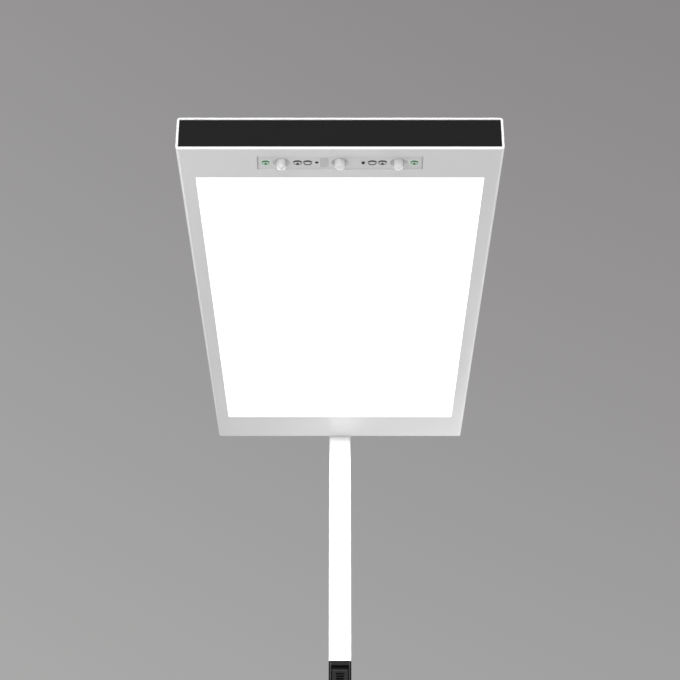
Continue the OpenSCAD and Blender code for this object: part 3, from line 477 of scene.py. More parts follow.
class Field:
    """A shader value. Python's operators on it add Math nodes."""

    def __init__(self, graph, socket):
        self.graph = graph
        self.socket = socket

    __add__ = __radd__ = math_method("ADD")
    __mul__ = __rmul__ = math_method("MULTIPLY")
    __sub__, __rsub__ = math_method("SUBTRACT"), math_method("SUBTRACT", True)
    __truediv__, __rtruediv__ = math_method("DIVIDE"), math_method("DIVIDE", True)
    __pow__ = math_method("POWER")
    __lt__ = math_method("LESS_THAN")
    __abs__ = math_method("ABSOLUTE")
    fraction = math_method("FRACT")
    most = math_method("MAXIMUM")


class Graph:
    """The nodes of one material or world."""

    def __init__(self, owner):
        owner.use_nodes = True
        self.tree = owner.node_tree
        self.tree.nodes.clear()

    def node(self, kind, settings=None, inputs=None, output=0):
        """Adds a node of a type, with its settings first and then its inputs, and returns one output.

        An input is named or numbered, and holds a value or another node's output.
        """
        made = self.tree.nodes.new(kind)
        for key, setting in (settings or {}).items():
            setattr(made, key, setting)
        for key, given in (inputs or {}).items():
            if isinstance(given, Field):
                self.tree.links.new(given.socket, made.inputs[key])
            else:
                made.inputs[key].default_value = given
        return Field(self, made.outputs[output]) if made.outputs else None

    def math(self, operation, *values):
        """One Math node on numbers or fields."""
        return self.node("ShaderNodeMath", {"operation": operation}, dict(enumerate(values)))

    def place(self, stretch=(1.0, 1.0, 1.0)):
        """Object coordinates in metres, stretched along each axis."""
        where = self.node("ShaderNodeTexCoord", output="Object")
        return self.node("ShaderNodeMapping", inputs={"Vector": where, "Scale": stretch})

    def axes(self, place):
        """The three parts of a vector, as fields."""
        return [self.node("ShaderNodeSeparateXYZ", inputs={0: place}, output=k) for k in range(3)]

    def noise(self, place, per_metre, detail=2.0):
        """Smooth noise from 0 to 1, with about this many bumps in a metre."""
        inputs = {"Vector": place, "Scale": per_metre, "Detail": detail}
        return self.node("ShaderNodeTexNoise", None, inputs)

    def shades(self, tint, low, high, amount):
        """The tint times a factor that goes from low to high with the amount."""
        return self.blend(tinted(tint, low), tinted(tint, high), amount)

    def blend(self, first, second, amount):
        """Colour between two colours."""
        return self.node(
            "ShaderNodeMix", {"data_type": "RGBA"}, {"Factor": amount, 6: first, 7: second}, output=2,
        )

    def bumps(self, height, depth, strength=1.0):
        """Normal of a surface that is raised by height times depth."""
        inputs = {"Strength": strength, "Distance": depth, "Height": height}
        return self.node("ShaderNodeBump", None, inputs)

    def finish(self, base, roughness, normal=None, **constants):
        """Principled surface. Constants are numbers for its other sockets, spaces written as _."""
        inputs = {"Base Color": base, "Roughness": roughness}
        if normal is not None:
            inputs["Normal"] = normal
        inputs.update({key.replace("_", " "): given for key, given in constants.items()})
        surface = self.node("ShaderNodeBsdfPrincipled", None, inputs)
        self.node("ShaderNodeOutputMaterial", None, {"Surface": surface})


def tinted(value, factor):
    """A colour made darker or lighter, with an alpha of one."""
    return (*[min(1.0, part * factor) for part in value], 1.0)


def material(name):
    """A new material and its graph."""
    made = bpy.data.materials.new(name)
    return made, Graph(made)


# ---------------------------------------------------------------- Finishes

def powder_coat(name, tint, roughness=0.3, peel=1.0):
    """Satin powder coat: orange peel a millimetre or two across, and a faint cloudiness."""
    made, graph = material(name)
    place = graph.place()
    waves = graph.noise(place, 420.0, detail=1.0)
    specks = graph.noise(place, 1900.0, detail=2.0)
    cloud = graph.noise(place, 9.0, detail=3.0)
    base = graph.shades(tint, 0.985, 1.01, cloud)
    rough = roughness + (cloud - 0.5) * 0.06 + (specks - 0.5) * 0.05
    normal = graph.bumps(waves * 0.7 + specks * 0.3, 0.02 * MM * peel, 0.35)
    graph.finish(base, rough, normal, Coat_Weight=0.5, Coat_Roughness=0.22, IOR=1.5)
    return made


def moulded_plastic(name, tint, roughness=0.45, grain=2600.0, depth=0.012, shine=0.5):
    """Moulded plastic with fine spark-eroded grain, a little smoother where hands rub it."""
    made, graph = material(name)
    place = graph.place()
    fine = graph.noise(place, grain, detail=3.0)
    cells = graph.node("ShaderNodeTexVoronoi", None, {"Vector": place, "Scale": grain * 0.7})
    wear = graph.noise(place, 35.0, detail=4.0)
    base = graph.shades(tint, 0.92, 1.12, wear)
    rough = roughness + (fine - 0.5) * 0.10 - (wear - 0.5) * 0.08
    normal = graph.bumps(fine * 0.6 + cells * 0.4, depth * MM, 0.6)
    graph.finish(base, rough, normal, IOR=1.49, Specular_IOR_Level=shine)
    return made


def plastic_with_painted_highlights(name, tint, worn, shine, middle, reach, front):
    """Black moulded plastic with two painted highlights: pale upright bands on its front that paint the light
    caught by the recess's chamfers, where the distance from X = 0 is the middle, give or take the reach."""
    made, graph = material(name)
    place = graph.place()
    across, along, _ = graph.axes(place)
    fine = graph.noise(place, 2600.0, detail=3.0)
    wear = graph.noise(place, 35.0, detail=4.0)
    # Mask of the painted highlights: two pale bands along the recess's chamfers, painted over the plastic's colour
    # below.
    edge = (abs(abs(across) - middle) < reach) * (along < front)
    base = graph.shades(tint, 0.92, 1.12, wear)
    base = graph.blend(base, tinted(worn, 1.0), edge)
    rough = 0.36 + (fine - 0.5) * 0.10 - (wear - 0.5) * 0.08
    graph.finish(
        base, rough, graph.bumps(fine, 0.012 * MM, 0.5), IOR=1.49, Specular_IOR_Level=shine,
    )
    return made


def speckled(name, tint, roughness, tones, grain, swing, bump, lit=0.0, **constants):
    """Surface whose tone, roughness and height follow smooth noise.

    tones are the factors of the tint where the noise is 0 and 1, grain is the noise's scale and detail,
    swing is how much the roughness changes with the noise, and bump is a depth in millimetres, a
    strength and, for rubber, the scale and detail of a finer noise. A lit surface sheds its own colour.
    """
    made, graph = material(name)
    place = graph.place()
    noise = graph.noise(place, *grain)
    depth, strength, *finer = bump
    height = graph.noise(place, *finer) if finer else noise
    base = graph.shades(tint, *tones, noise)
    if lit:
        constants.update(Emission_Color=base, Emission_Strength=lit)
    normal = graph.bumps(height, depth * MM, strength)
    graph.finish(base, roughness + (noise - 0.5) * swing, normal, **constants)
    return made


def prism_sheet(name, tint, power):
    """Light panel of tiny square pyramids: the height is the larger distance from a cell's middle."""
    made, graph = material(name)
    place = graph.place()
    across, along, _ = graph.axes(place)
    cells = 1 / (1.6 * MM)
    side = abs((across * cells).fraction() - 0.5)
    front = abs((along * cells).fraction() - 0.5)
    slope = side.most(front)
    glow = graph.shades(tint, 1.0, 0.985, slope * 2.0)
    normal = graph.bumps(1 - slope * 2.0, 0.12 * MM, 0.4)
    graph.finish(
        tinted(tint, 0.9), 0.22 + slope * 0.1, normal,
        Emission_Color=glow, Emission_Strength=power, IOR=1.49,
    )
    return made


def clear_sheet(name, tint):
    """Clear acrylic with fine ribs across it: the height is the distance from a rib's middle."""
    made, graph = material(name)
    across, _, _ = graph.axes(graph.place())
    rib = abs((across / (1.2 * MM)).fraction() - 0.5)
    normal = graph.bumps(rib, 0.05 * MM, 0.12)
    haze = graph.noise(graph.place(), 40.0)
    graph.finish(
        tinted(tint, 1.0), 0.2 + haze * 0.06, normal, Transmission_Weight=0.85, IOR=1.49, Alpha=1.0,
    )
    return made


def lit_window(name, tint, glow, power, centres):
    """Strip-coloured window with a round glow about each centre, which falls off with the distance."""
    made, graph = material(name)
    place = graph.place()
    across, along, _ = graph.axes(place)
    (left, _, _), (right, front, _) = centres
    off_x = abs(abs(across - (left + right) / 2) - (right - left) / 2)
    off_y = along - front
    away = (off_x * off_x + off_y * off_y) ** 0.5 / (6.5 * MM)
    near = (1 - away).most(0.0) ** 0.8
    base = graph.blend(tinted(tint, 1.0), tinted(glow, 1.0), near * 0.35)
    shine = graph.blend((0.0, 0.0, 0.0, 1.0), tinted(glow, 1.0), near)
    normal = graph.bumps(graph.noise(place, 600.0), 0.003 * MM, 0.3)
    graph.finish(
        base, 0.3 + near * 0.05, normal, IOR=1.49, Emission_Color=shine, Emission_Strength=power,
    )
    return made


def drawn_metal(name, tint):
    """Bare metal with fine lines along Y."""
    made, graph = material(name)
    lines = graph.noise(graph.place((1.0, 0.02, 1.0)), 2400.0, detail=3.0)
    cloud = graph.noise(graph.place(), 30.0, detail=3.0)
    base = graph.shades(tint, 0.9, 1.06, lines)
    rough = 0.34 + (lines - 0.5) * 0.16 + (cloud - 0.5) * 0.1
    normal = graph.bumps(lines, 0.006 * MM, 0.5)
    graph.finish(base, rough, normal, Metallic=1.0)
    return made


def plated_steel(name, tint):
    """Zinc plating: small crystals that differ a little in tone and gloss."""
    made, graph = material(name)
    place = graph.place()
    crystal = graph.node(
        "ShaderNodeTexVoronoi", None, {"Vector": place, "Scale": 900.0}, output="Distance",
    )
    cloud = graph.noise(place, 220.0, detail=3.0)
    base = graph.shades(tint, 0.86, 1.08, cloud)
    rough = 0.26 + crystal * 0.18 + (cloud - 0.5) * 0.1
    graph.finish(base, rough, graph.bumps(crystal, 0.004 * MM, 0.4), Metallic=1.0)
    return made


def circuit_board(name, tint):
    """Green board: copper tracks show as slightly lighter bands under the lacquer."""
    made, graph = material(name)
    place = graph.place()
    tracks = graph.node(
        "ShaderNodeTexBrick", {"offset": 0.37},
        {"Vector": place, "Scale": 130.0, "Mortar Size": 0.12, "Color1": (0, 0, 0, 1),
         "Color2": (0, 0, 0, 1), "Mortar": (1, 1, 1, 1)}, output="Fac",
    )
    base = graph.shades(tint, 0.8, 1.6, tracks)
    graph.finish(base, 0.25 + tracks * 0.1, graph.bumps(tracks, 0.03 * MM, 0.5), Coat_Weight=0.4)
    return made


def make_finishes(colours, power, control):
    """Every finish, named for the record's material slots, with the prints and glow of the strip."""
    slots = {part["slot"]: part["base_color"][:3] for part in frame["record"]["materials"]}
    low, high = box_of("control_housing")
    gloss = {"tones": (0.95, 1.05), "grain": (160.0, 3.0), "swing": 0.06, "bump": (0.003, 0.3),
             "Coat_Weight": 0.3, "IOR": 1.52}
    opal = {"tones": (0.96, 1.03), "grain": (240.0, 4.0), "swing": 0.08, "bump": (0.004, 0.3),
            "Subsurface_Weight": 1.0, "Subsurface_Radius": (4 * MM, 4 * MM, 4 * MM), "IOR": 1.45}
    ink = {"tones": (0.85, 1.35), "grain": (3200.0, 3.0), "swing": 0.12, "bump": (0.004, 0.4)}
    rubber = {"tones": (0.8, 1.5), "grain": (90.0, 4.0), "swing": 0.15, "bump": (0.01, 0.5, 2200.0, 2.0)}
    phosphor = {"tones": (0.9, 1.1), "grain": (4000.0, 2.0), "swing": 0.2, "bump": (0.01, 1.0),
                "lit": 0.6}
    return {
        "white_aluminium": powder_coat("white_powder_coat", colours.white),
        "white_steel": powder_coat("white_base_coat", colours.white, 0.42, 1.6),
        "white_plastic": moulded_plastic("white_moulding", colours.white, 0.38, 2200.0),
        "black_plastic": moulded_plastic("black_moulding", colours.black, 0.38, shine=0.25),
        # The control module and the thumb are darker copies of the black plastic: their tones paint the shade that
        # each gets, the thumb's a little less dark.
        "control": plastic_with_painted_highlights(
            "control_moulding", tinted(colours.black, 0.28)[:3], colours.worn, 0.16,
            # These place the painted highlights: pale bands that paint the light caught by the recess's chamfers.
            high[X] - control.highlight_inset, control.highlight_reach, low[Y] + control.highlight_depth,
        ),
        "thumb": moulded_plastic("thumb_moulding", tinted(colours.black, 0.34)[:3], 0.4, shine=0.2),
        "black_window": speckled("black_window", slots["black_window"], 0.12, **gloss),
        "prismatic_panel": prism_sheet("lit_prism_sheet", colours.light, power),
        "clear_acrylic": clear_sheet("clear_ribbed_sheet", slots["clear_acrylic"]),
        "reflector_white": moulded_plastic("reflector_film", slots["reflector_white"], 0.6, 1500.0),
        "led_board": speckled("white_circuit_board", slots["led_board"], 0.35, **gloss),
        "led_package": speckled("phosphor", slots["led_package"], 0.45, **phosphor),
        "bare_aluminium": drawn_metal("mill_aluminium", slots["bare_aluminium"]),
        "steel": plated_steel("zinc_plating", slots["steel"]),
        "grey_plastic": moulded_plastic("strip_moulding", colours.strip, 0.34, 2400.0, 0.006),
        "opal_plastic": speckled("opal_lens", colours.lens, 0.5, **opal),
        "circuit_board": circuit_board("green_circuit_board", slots["circuit_board"]),
        "wiring": speckled("cable_jacket", slots["wiring"], 0.695, **rubber),
        "case_white": moulded_plastic("driver_case", slots["case_white"], 0.5, 1800.0),
        "glide_rubber": speckled("glide_rubber", slots["glide_rubber"], 0.695, **rubber),
        "ink": speckled("dark_ink", colours.ink, 0.48, **ink),
        "green_ink": speckled("green_ink", colours.green, 0.48, **ink),
        "indicator": lit_window(
            "indicator_glow", colours.strip, colours.glow, 0.15,
            [sum(layer_of(f"indicator_window_{side}", Z, -1)) / 2 for side in ("left", "right")],
        ),
        "status": speckled("status_window", colours.status, 0.3, **gloss),
    }


# ---------------------------------------------------------------- Operators

class LAMP_OT_finishes(bpy.types.Operator):
    """Make every finish and give each CAD node the one for its material slot"""
    bl_idname = "lamp.finishes"
    bl_label = "Finishes"

    special = {
        "indicator_window_left": "indicator", "indicator_window_right": "indicator",
        "status_window": "status", "dimmer_track": "control",
    }

    def execute(self, context):
        scene = context.scene
        FINISHES.update(make_finishes(
            scene.lamp_colours, scene.lamp_stage.panel_glow, scene.lamp_control,
        ))
        slots = {part["node"]: part["material_slot"] for part in frame["record"]["subparts"]}
        for node, piece in frame["nodes"].items():
            finish = FINISHES[self.special.get(node, slots[node])]
            if piece.material_slots:
                for slot in piece.material_slots:
                    slot.material = finish
            else:
                piece.data.materials.append(finish)
        return {"FINISHED"}


class LAMP_OT_housing(bpy.types.Operator):
    """Build the extruded housing with its windows, its rails and its black end cap"""
    bl_idname = "lamp.housing"
    bl_label = "Head housing"

    def execute(self, context):
        sizes = context.scene.lamp_head
        self.build_shell(sizes)
        self.build_cap(sizes)
        soften("rear_cap", sizes.rear_cap_edge)
        return {"FINISHED"}

    def build_shell(self, sizes):
        """Tube: the outer and the inner outline at each cut along Y, with the windows left open."""
        low, high = box_of("head_housing")
        width, height = high[X] - low[X], high[Z] - low[Z]
        middle = (low[Z] + high[Z]) / 2
        fit, wall, ramp = sizes.fit, sizes.wall, 0.1 * MM
        windows = [(-1, *layer_of("direct_panel", Z, -1)), (-1, *layer_of("sensor_bezel", Z, -1)),
                   (1, *layer_of("uplight_cover", Z, 1))]
        edges = {
            side: [s * (stop[X] + fit) for face, _, stop in windows if face == side for s in (-1, 1)]
            for side in (-1, 1)
        }
        outlines = [
            rounded_outline(
                width - 2 * inset, height - 2 * inset, sizes.corner - inset,
                low_cuts=edges[-1], high_cuts=edges[1],
            )
            for inset in (0.0, wall)
        ]
        cuts = [end[Y] + s * fit for _, a, b in windows for end, s in ((a, -1), (b, 1))]
        lip_end = low[Y] + sizes.chin_depth
        stations = np.unique(np.round([low[Y], high[Y], lip_end, lip_end + ramp, *cuts], 7))
        keep = np.ones((len(outlines[0]), len(stations) - 1), bool)
        middles = (outlines[0] + np.roll(outlines[0], -1, 0)) / 2
        between = (stations[1:] + stations[:-1]) / 2
        for side, start, stop in windows:
            flat = abs(middles[:, 1] - side * height / 2) < TOUCH
            across = flat & (abs(middles[:, 0]) < stop[X] + fit)
            along = (between > start[Y] - fit) & (between < stop[Y] + fit)
            keep &= ~(across[:, None] & along[None, :])
        outer, inner = [
            np.stack([lifted(outline, y, (0, middle), upright=True) for y in stations], 1)
            for outline in outlines
        ]
        floor = low[Z] + wall + (stations < lip_end + ramp / 2) * sizes.chin
        inner[:, :, Z] = np.maximum(inner[:, :, Z], floor)
        piece = put_piece(
            "head_shell", skin(outer, inner, keep, around=True) + self.rails(sizes, low, high),
            "white_aluminium", ["head_housing"], smooth=35.0,
        )
        bevel(piece, sizes.rim, 3)

    def rails(self, sizes, low, high):
        """Four bars in the housing's inner corners, each a small rounded outline carried along Y."""
        start, stop = box_of("front_cap")[0][Y] + 4 * MM, box_of("rear_cap")[0][Y]
        under_board = box_of("uplight_board_front")[0][Z] - 2 * MM
        floor, ceiling = low[Z] + sizes.wall, high[Z] - sizes.wall
        wide, out = sizes.rail, high[X] - sizes.wall - sizes.rail / 2
        return joined([
            bar(wide, top - base, sizes.rail_corner, start, stop, (side * out, (base + top) / 2), 2)
            for side in (-1, 1) for base, top in ((floor, under_board), (ceiling - wide, ceiling))
        ])

    def build_cap(self, sizes):
        """Flat cap with a rounded front edge, and four round pegs behind it."""
        low, high = box_of("front_cap")
        face_low, face_high = layer_of("front_cap", Y, -1)
        width, height = (face_high - face_low)[[X, Z]]
        thickness, corner, overlap = 2.5 * MM, 0.8 * MM, 0.2 * MM
        back = low[Y] + thickness
        middle = (face_low[Z] + face_high[Z] + sizes.chin) / 2
        levels = edge_levels(low[Y], back, sizes.cap_edge, steps=5)
        plate = loft(plate_rings(width, height - sizes.chin, corner, levels, (0.0, middle), True))
        peg, inset, inset_below = 1.35 * MM, 3.1 * MM, 2.85 * MM
        circle = peg * circle_points(16)
        pegs = [
            loft([lifted(circle, y, (side * (width / 2 - inset), z), upright=True)
                  for y in (back - overlap, high[Y])])
            for side in (-1, 1) for z in (low[Z] + inset_below, high[Z] - inset)
        ]
        put_piece("end_cap", joined([plate] + pegs), "black_plastic", ["front_cap"])


class LAMP_OT_panels(bpy.types.Operator):
    """Build the lit prismatic panel below and the clear cover above"""
    bl_idname = "lamp.panels"
    bl_label = "Light panels"

    def execute(self, context):
        sizes = context.scene.lamp_head
        self.build("light_panel", "direct_panel", -1, sizes, "prismatic_panel")
        self.build("clear_cover", "uplight_cover", 1, sizes, "clear_acrylic")
        return {"FINISHED"}

    def build(self, name, node, side, sizes, slot):
        """Stepped plate: the lip's outline, then the face's outline with a rounded edge."""
        low, high = box_of(node)
        face_low, face_high = layer_of(node, Z, side)
        back, front = (high[Z], low[Z]) if side < 0 else (low[Z], high[Z])
        step = back + side * sizes.panel_lip
        centre, lip = (low + high)[:2] / 2, (high - low)[:2]
        soft = edge_levels(front, step, sizes.panel_edge)[::-1]
        rings = plate_rings(*lip, 1.0 * MM, [(back, 0), (step, 0)], centre)
        rings += plate_rings(*(face_high - face_low)[:2], sizes.panel_corner, soft, centre)
        put_piece(name, loft(rings), slot, [node])


class LAMP_OT_sensor_strip(bpy.types.Operator):
    """Build the sensor strip with its lens dishes, and the lenses and dots in it"""
    bl_idname = "lamp.sensor_strip"
    bl_label = "Sensor strip"

    def execute(self, context):
        sizes = context.scene.lamp_strip
        self.build_strip(sizes)
        for side in ("left", "right"):
            self.build_lens(f"sensor_lens_{side}", sizes, sizes.side_fullness)
        self.build_lens("sensor_lens_centre", sizes, sizes.centre_fullness)
        self.build_dot("receiver_window", sizes.receiver, flatness=5.0)
        self.build_dot("light_sensor", sizes.light_sensor, flatness=1.0)
        return {"FINISHED"}

    def build_strip(self, sizes):
        """Thickened sheet of plain and dished tiles side by side, with openings for the windows."""
        low, high = layer_of("sensor_bezel", Z, -1)
        low[X], high[X] = low[X] + sizes.end_gap, high[X] - sizes.end_gap
        middle_y, half = (low[Y] + high[Y]) / 2, (high[Y] - low[Y]) / 2
        lenses = [box_of(f"sensor_lens_{side}") for side in ("left", "centre", "right")]
        windows = [layer_of(node, Z, -1) for node in
                   ("indicator_window_left", "status_window", "indicator_window_right")]
        gap = sizes.window_gap
        openings = [(start[X] - gap, stop[X] + gap) for start, stop in windows]
        reach = (windows[0][1][Y] - windows[0][0][Y]) / 2 + gap
        rows = np.r_[-half, np.linspace(-reach, reach, 13), half + sizes.rear_lap]
        rim = (sizes.dish_width / 2, sizes.dish_length / 2)
        cuts, tiles = [low[X]], []
        for lens_low, lens_high in lenses:
            centre = (lens_low[X] + lens_high[X]) / 2
            hole = (lens_high[X] - lens_low[X]) / 2 - sizes.lens_flange + gap
            left = max([centre - half] + [stop for _, stop in openings if stop < centre])
            right = min([centre + half] + [start for start, _ in openings if start > centre])
            tiles.append(self.dished_tile(left, right, rows, centre, hole, rim, sizes.dish_depth))
            cuts += [left, right]
        cuts.append(high[X])
        for start, stop in zip(cuts[::2], cuts[1::2]):
            tiles.append(self.plain_tile(start, stop, rows, openings))
        strip = thicken(joined(tiles).moved(0.0, middle_y, low[Z]), (0, 0, sizes.sheet))
        put_piece(
            "sensor_strip", strip + self.flange(high), "grey_plastic", ["sensor_bezel"], smooth=25.0,
        )

    def flange(self, face_high):
        """Flat ring behind the housing's sheet, from the strip's outline out to its flange's outline."""
        points = points_of("sensor_bezel")
        low, high = box_of("sensor_bezel")
        past_face = points[:, X] > face_high[X] + 1 * MM
        rim = points[past_face, Z]
        centre = (low + high)[:2] / 2
        outer, inner = (high - low)[:2], 2 * (face_high[:2] - centre)
        rings = [
            plate_rings(*size, 1.0 * MM, [(start, 0), (stop, 0)], centre)
            for size, start, stop in ((outer, rim.min(), rim.max()), (inner, rim.max(), rim.min()))
        ]
        return loft(rings[0] + rings[1], closed=True)

    def plain_tile(self, start, stop, rows, openings):
        """Flat grid from start to stop, open where a window's insert goes."""
        inside = [(a, b) for a, b in openings if a > start - TOUCH and b < stop + TOUCH]
        columns = np.unique(np.round([start, stop, *np.ravel(inside)], 7))
        across, along = np.meshgrid(columns, rows, indexing="ij")
        middle = (columns[1:] + columns[:-1]) / 2
        keep = np.ones((len(columns) - 1, len(rows) - 1), bool)
        for left, right in inside:
            keep[(middle > left) & (middle < right), 1:-1] = False
        return sheet(np.stack([across, along, np.zeros_like(across)], -1), keep)

    def dished_tile(self, left, right, rows, centre, hole, rim, depth):
        """Tile with an oval dish.

        The tile's edge is walked once around, and each of its points has a spoke towards the centre. On
        a spoke at angle a the rim lies at 1 / sqrt((cos a / half width)^2 + (sin a / half length)^2).
        A ring at fraction t between the hole and the rim lies the depth times (1 - t)^0.6 inside, so
        that the dish is steep at its rim.
        """
        columns = np.linspace(left, right, 15)
        steps_across, steps_along = len(columns) - 1, len(rows) - 1
        walk = np.vstack([
            np.c_[columns[:-1], np.full(steps_across, rows[0])],
            np.c_[np.full(steps_along, right), rows[:-1]],
            np.c_[columns[:0:-1], np.full(steps_across, rows[-1])],
            np.c_[np.full(steps_along, left), rows[:0:-1]],
        ])
        angle = np.arctan2(walk[:, 1], walk[:, 0] - centre)
        t = 1 - np.linspace(1, 0, 12) ** 1.6
        fall = depth * (1 - t) ** 0.6
        oval = 1 / np.hypot(np.cos(angle) / rim[0], np.sin(angle) / rim[1])
        radius = hole + (oval - hole) * t[:, None]
        rings = np.stack([
            centre + radius * np.cos(angle), radius * np.sin(angle),
            np.repeat(fall[:, None], len(angle), 1),
        ], -1)
        edge = np.c_[walk, np.zeros(len(walk))][None]
        grid = np.concatenate([rings, (rings[-1:] + edge) / 2, edge])
        grid[-2, :, Z] = 0.0
        return sheet(np.concatenate([grid, grid[:, :1]], 1))

    def build_lens(self, node, sizes, fullness):
        """Hollow dome with a flange behind the strip.

        Its radius at height h below the shoulder is R (1 - h^p)^(1/p), where p is the fullness: 2 for a
        round dome and more for a flatter one.
        """
        low, high = box_of(node)
        centre, top = (low + high) / 2, high[Z]
        flange = (high[X] - low[X]) / 2
        outer = flange - sizes.lens_flange
        inner = outer - sizes.lens_wall
        shoulder = outer * 0.95
        angle = np.linspace(np.pi / 2, 0, 18)

        def dome(radius, drop):
            across = radius * np.cos(angle) ** (2 / fullness)
            down = drop * np.sin(angle) ** (2 / fullness)
            return np.c_[across, low[Z] + shoulder - down]

        skirt = [(outer, top - 1.8 * MM), (outer + 0.5 * MM, top - 1.2 * MM), (flange, top - 1.0 * MM),
                 (flange, top), (inner, top)]
        profile = np.vstack([
            dome(outer, shoulder), skirt, dome(inner, shoulder - sizes.lens_wall)[::-1],
        ])
        surface = turned(profile, (centre[X], centre[Y], 0.0))
        put_piece(node.replace("sensor_lens", "lens"), surface, "opal_plastic", [node])

    def build_dot(self, node, width, flatness):
        """Small round window: a cap of a sphere on a short cylinder, flatter by the flatness."""
        low, high = box_of(node)
        face = box_of("sensor_bezel")[0][Z]
        centre, radius = (low + high) / 2, width / 2
        angle = np.linspace(np.pi / 2, 0, 10)
        tip = min(low[Z], face - 0.3 * MM)
        cap = np.c_[radius * np.cos(angle), tip + radius / flatness * (1 - np.sin(angle))]
        profile = np.vstack([cap, [(radius, high[Z]), (0.0, high[Z])]])
        surface = turned(profile, (centre[X], centre[Y], 0.0), 32)
        put_piece(node + "_dot", surface, "black_window", [node])


class LAMP_OT_marks(bpy.types.Operator):
    """Print the plain eye marks beside the lenses and on the indicator windows"""
    bl_idname = "lamp.marks"
    bl_label = "Printed marks"

    def execute(self, context):
        sizes = context.scene.lamp_strip
        low, high = layer_of("sensor_bezel", Z, -1)
        centre_y, face = (low[Y] + high[Y]) / 2, low[Z]
        outer, inner = sizes.outer_mark, sizes.inner_mark
        eyes = [self.eye(sizes, x, centre_y, True) for x in (-outer, outer)]
        eyes += [self.eye(sizes, x, centre_y, False) for x in (-inner, inner)]
        windows = [layer_of(f"indicator_window_{side}", Z, -1) for side in ("left", "right")]
        green = [self.eye(sizes, (a[X] + b[X]) / 2, centre_y, True, 0.88) for a, b in windows]
        for name, marks, finish in (("eye_marks", eyes, "ink"), ("indicator_marks", green, "green_ink")):
            flat = joined([part for mark in marks for part in mark])
            put_piece(name, flat.moved(z=face), "black_window", finish=finish)
        return {"FINISHED"}

    def eye(self, sizes, x, y, open_eye, scale=1.0):
        """Eye seen from the front: a heavy upper lid, a thin lower lid, and an iris or three lashes.

        A lid is half a turn of an oval, and its line swells towards the middle with the sine. Each part
        has its own thickness, so that no two of their faces lie in one plane.
        """
        wide, deep = sizes.mark_width / 2 * scale, sizes.mark_depth / 2 * scale
        unit, ink = MM * scale, sizes.ink
        turn = np.linspace(0.04, 0.96, 25) * np.pi
        swell = np.sin(turn)
        upper = np.c_[x - wide * 0.86 * np.cos(turn), y - deep * 0.56 * swell]
        lower = np.c_[x - wide * 0.86 * np.cos(turn), y + deep * 0.84 * swell]
        lower_line = 0.45 if open_eye else 0.7
        parts = [self.band(upper, (0.75 + 0.6 * swell) * unit, ink),
                 self.band(lower, lower_line * (0.6 + 0.4 * swell) * unit, 0.8 * ink)]
        if open_eye:
            iris = (x, y + 1.7 * unit) + circle_points(24) * (1.4 * unit, 1.6 * unit)
            parts.append(loft([lifted(iris, level) for level in (0.0, -1.2 * ink)]))
        else:
            t = np.linspace(0.3, 0.62, 4)
            for lean in (-1, 0, 1):
                lash = np.c_[x + lean * wide * t * 1.1, y + deep * (0.5 + (t - 0.3) * 1.4)]
                parts.append(self.band(lash, np.full(4, 0.22 * unit), 1.2 * ink))
        return parts

    def band(self, line, half_width, ink):
        """Strip along a line: each point is moved the half width to both sides, square to the line."""
        along = np.gradient(line, axis=0)
        along /= np.linalg.norm(along, axis=1, keepdims=True)
        side = np.c_[-along[:, 1], along[:, 0]] * np.asarray(half_width).reshape(-1, 1)
        pair = np.stack([line - side, line + side], 1)
        grid = np.concatenate([pair, np.zeros((*pair.shape[:2], 1))], -1)
        return thicken(sheet(grid), (0, 0, -ink))


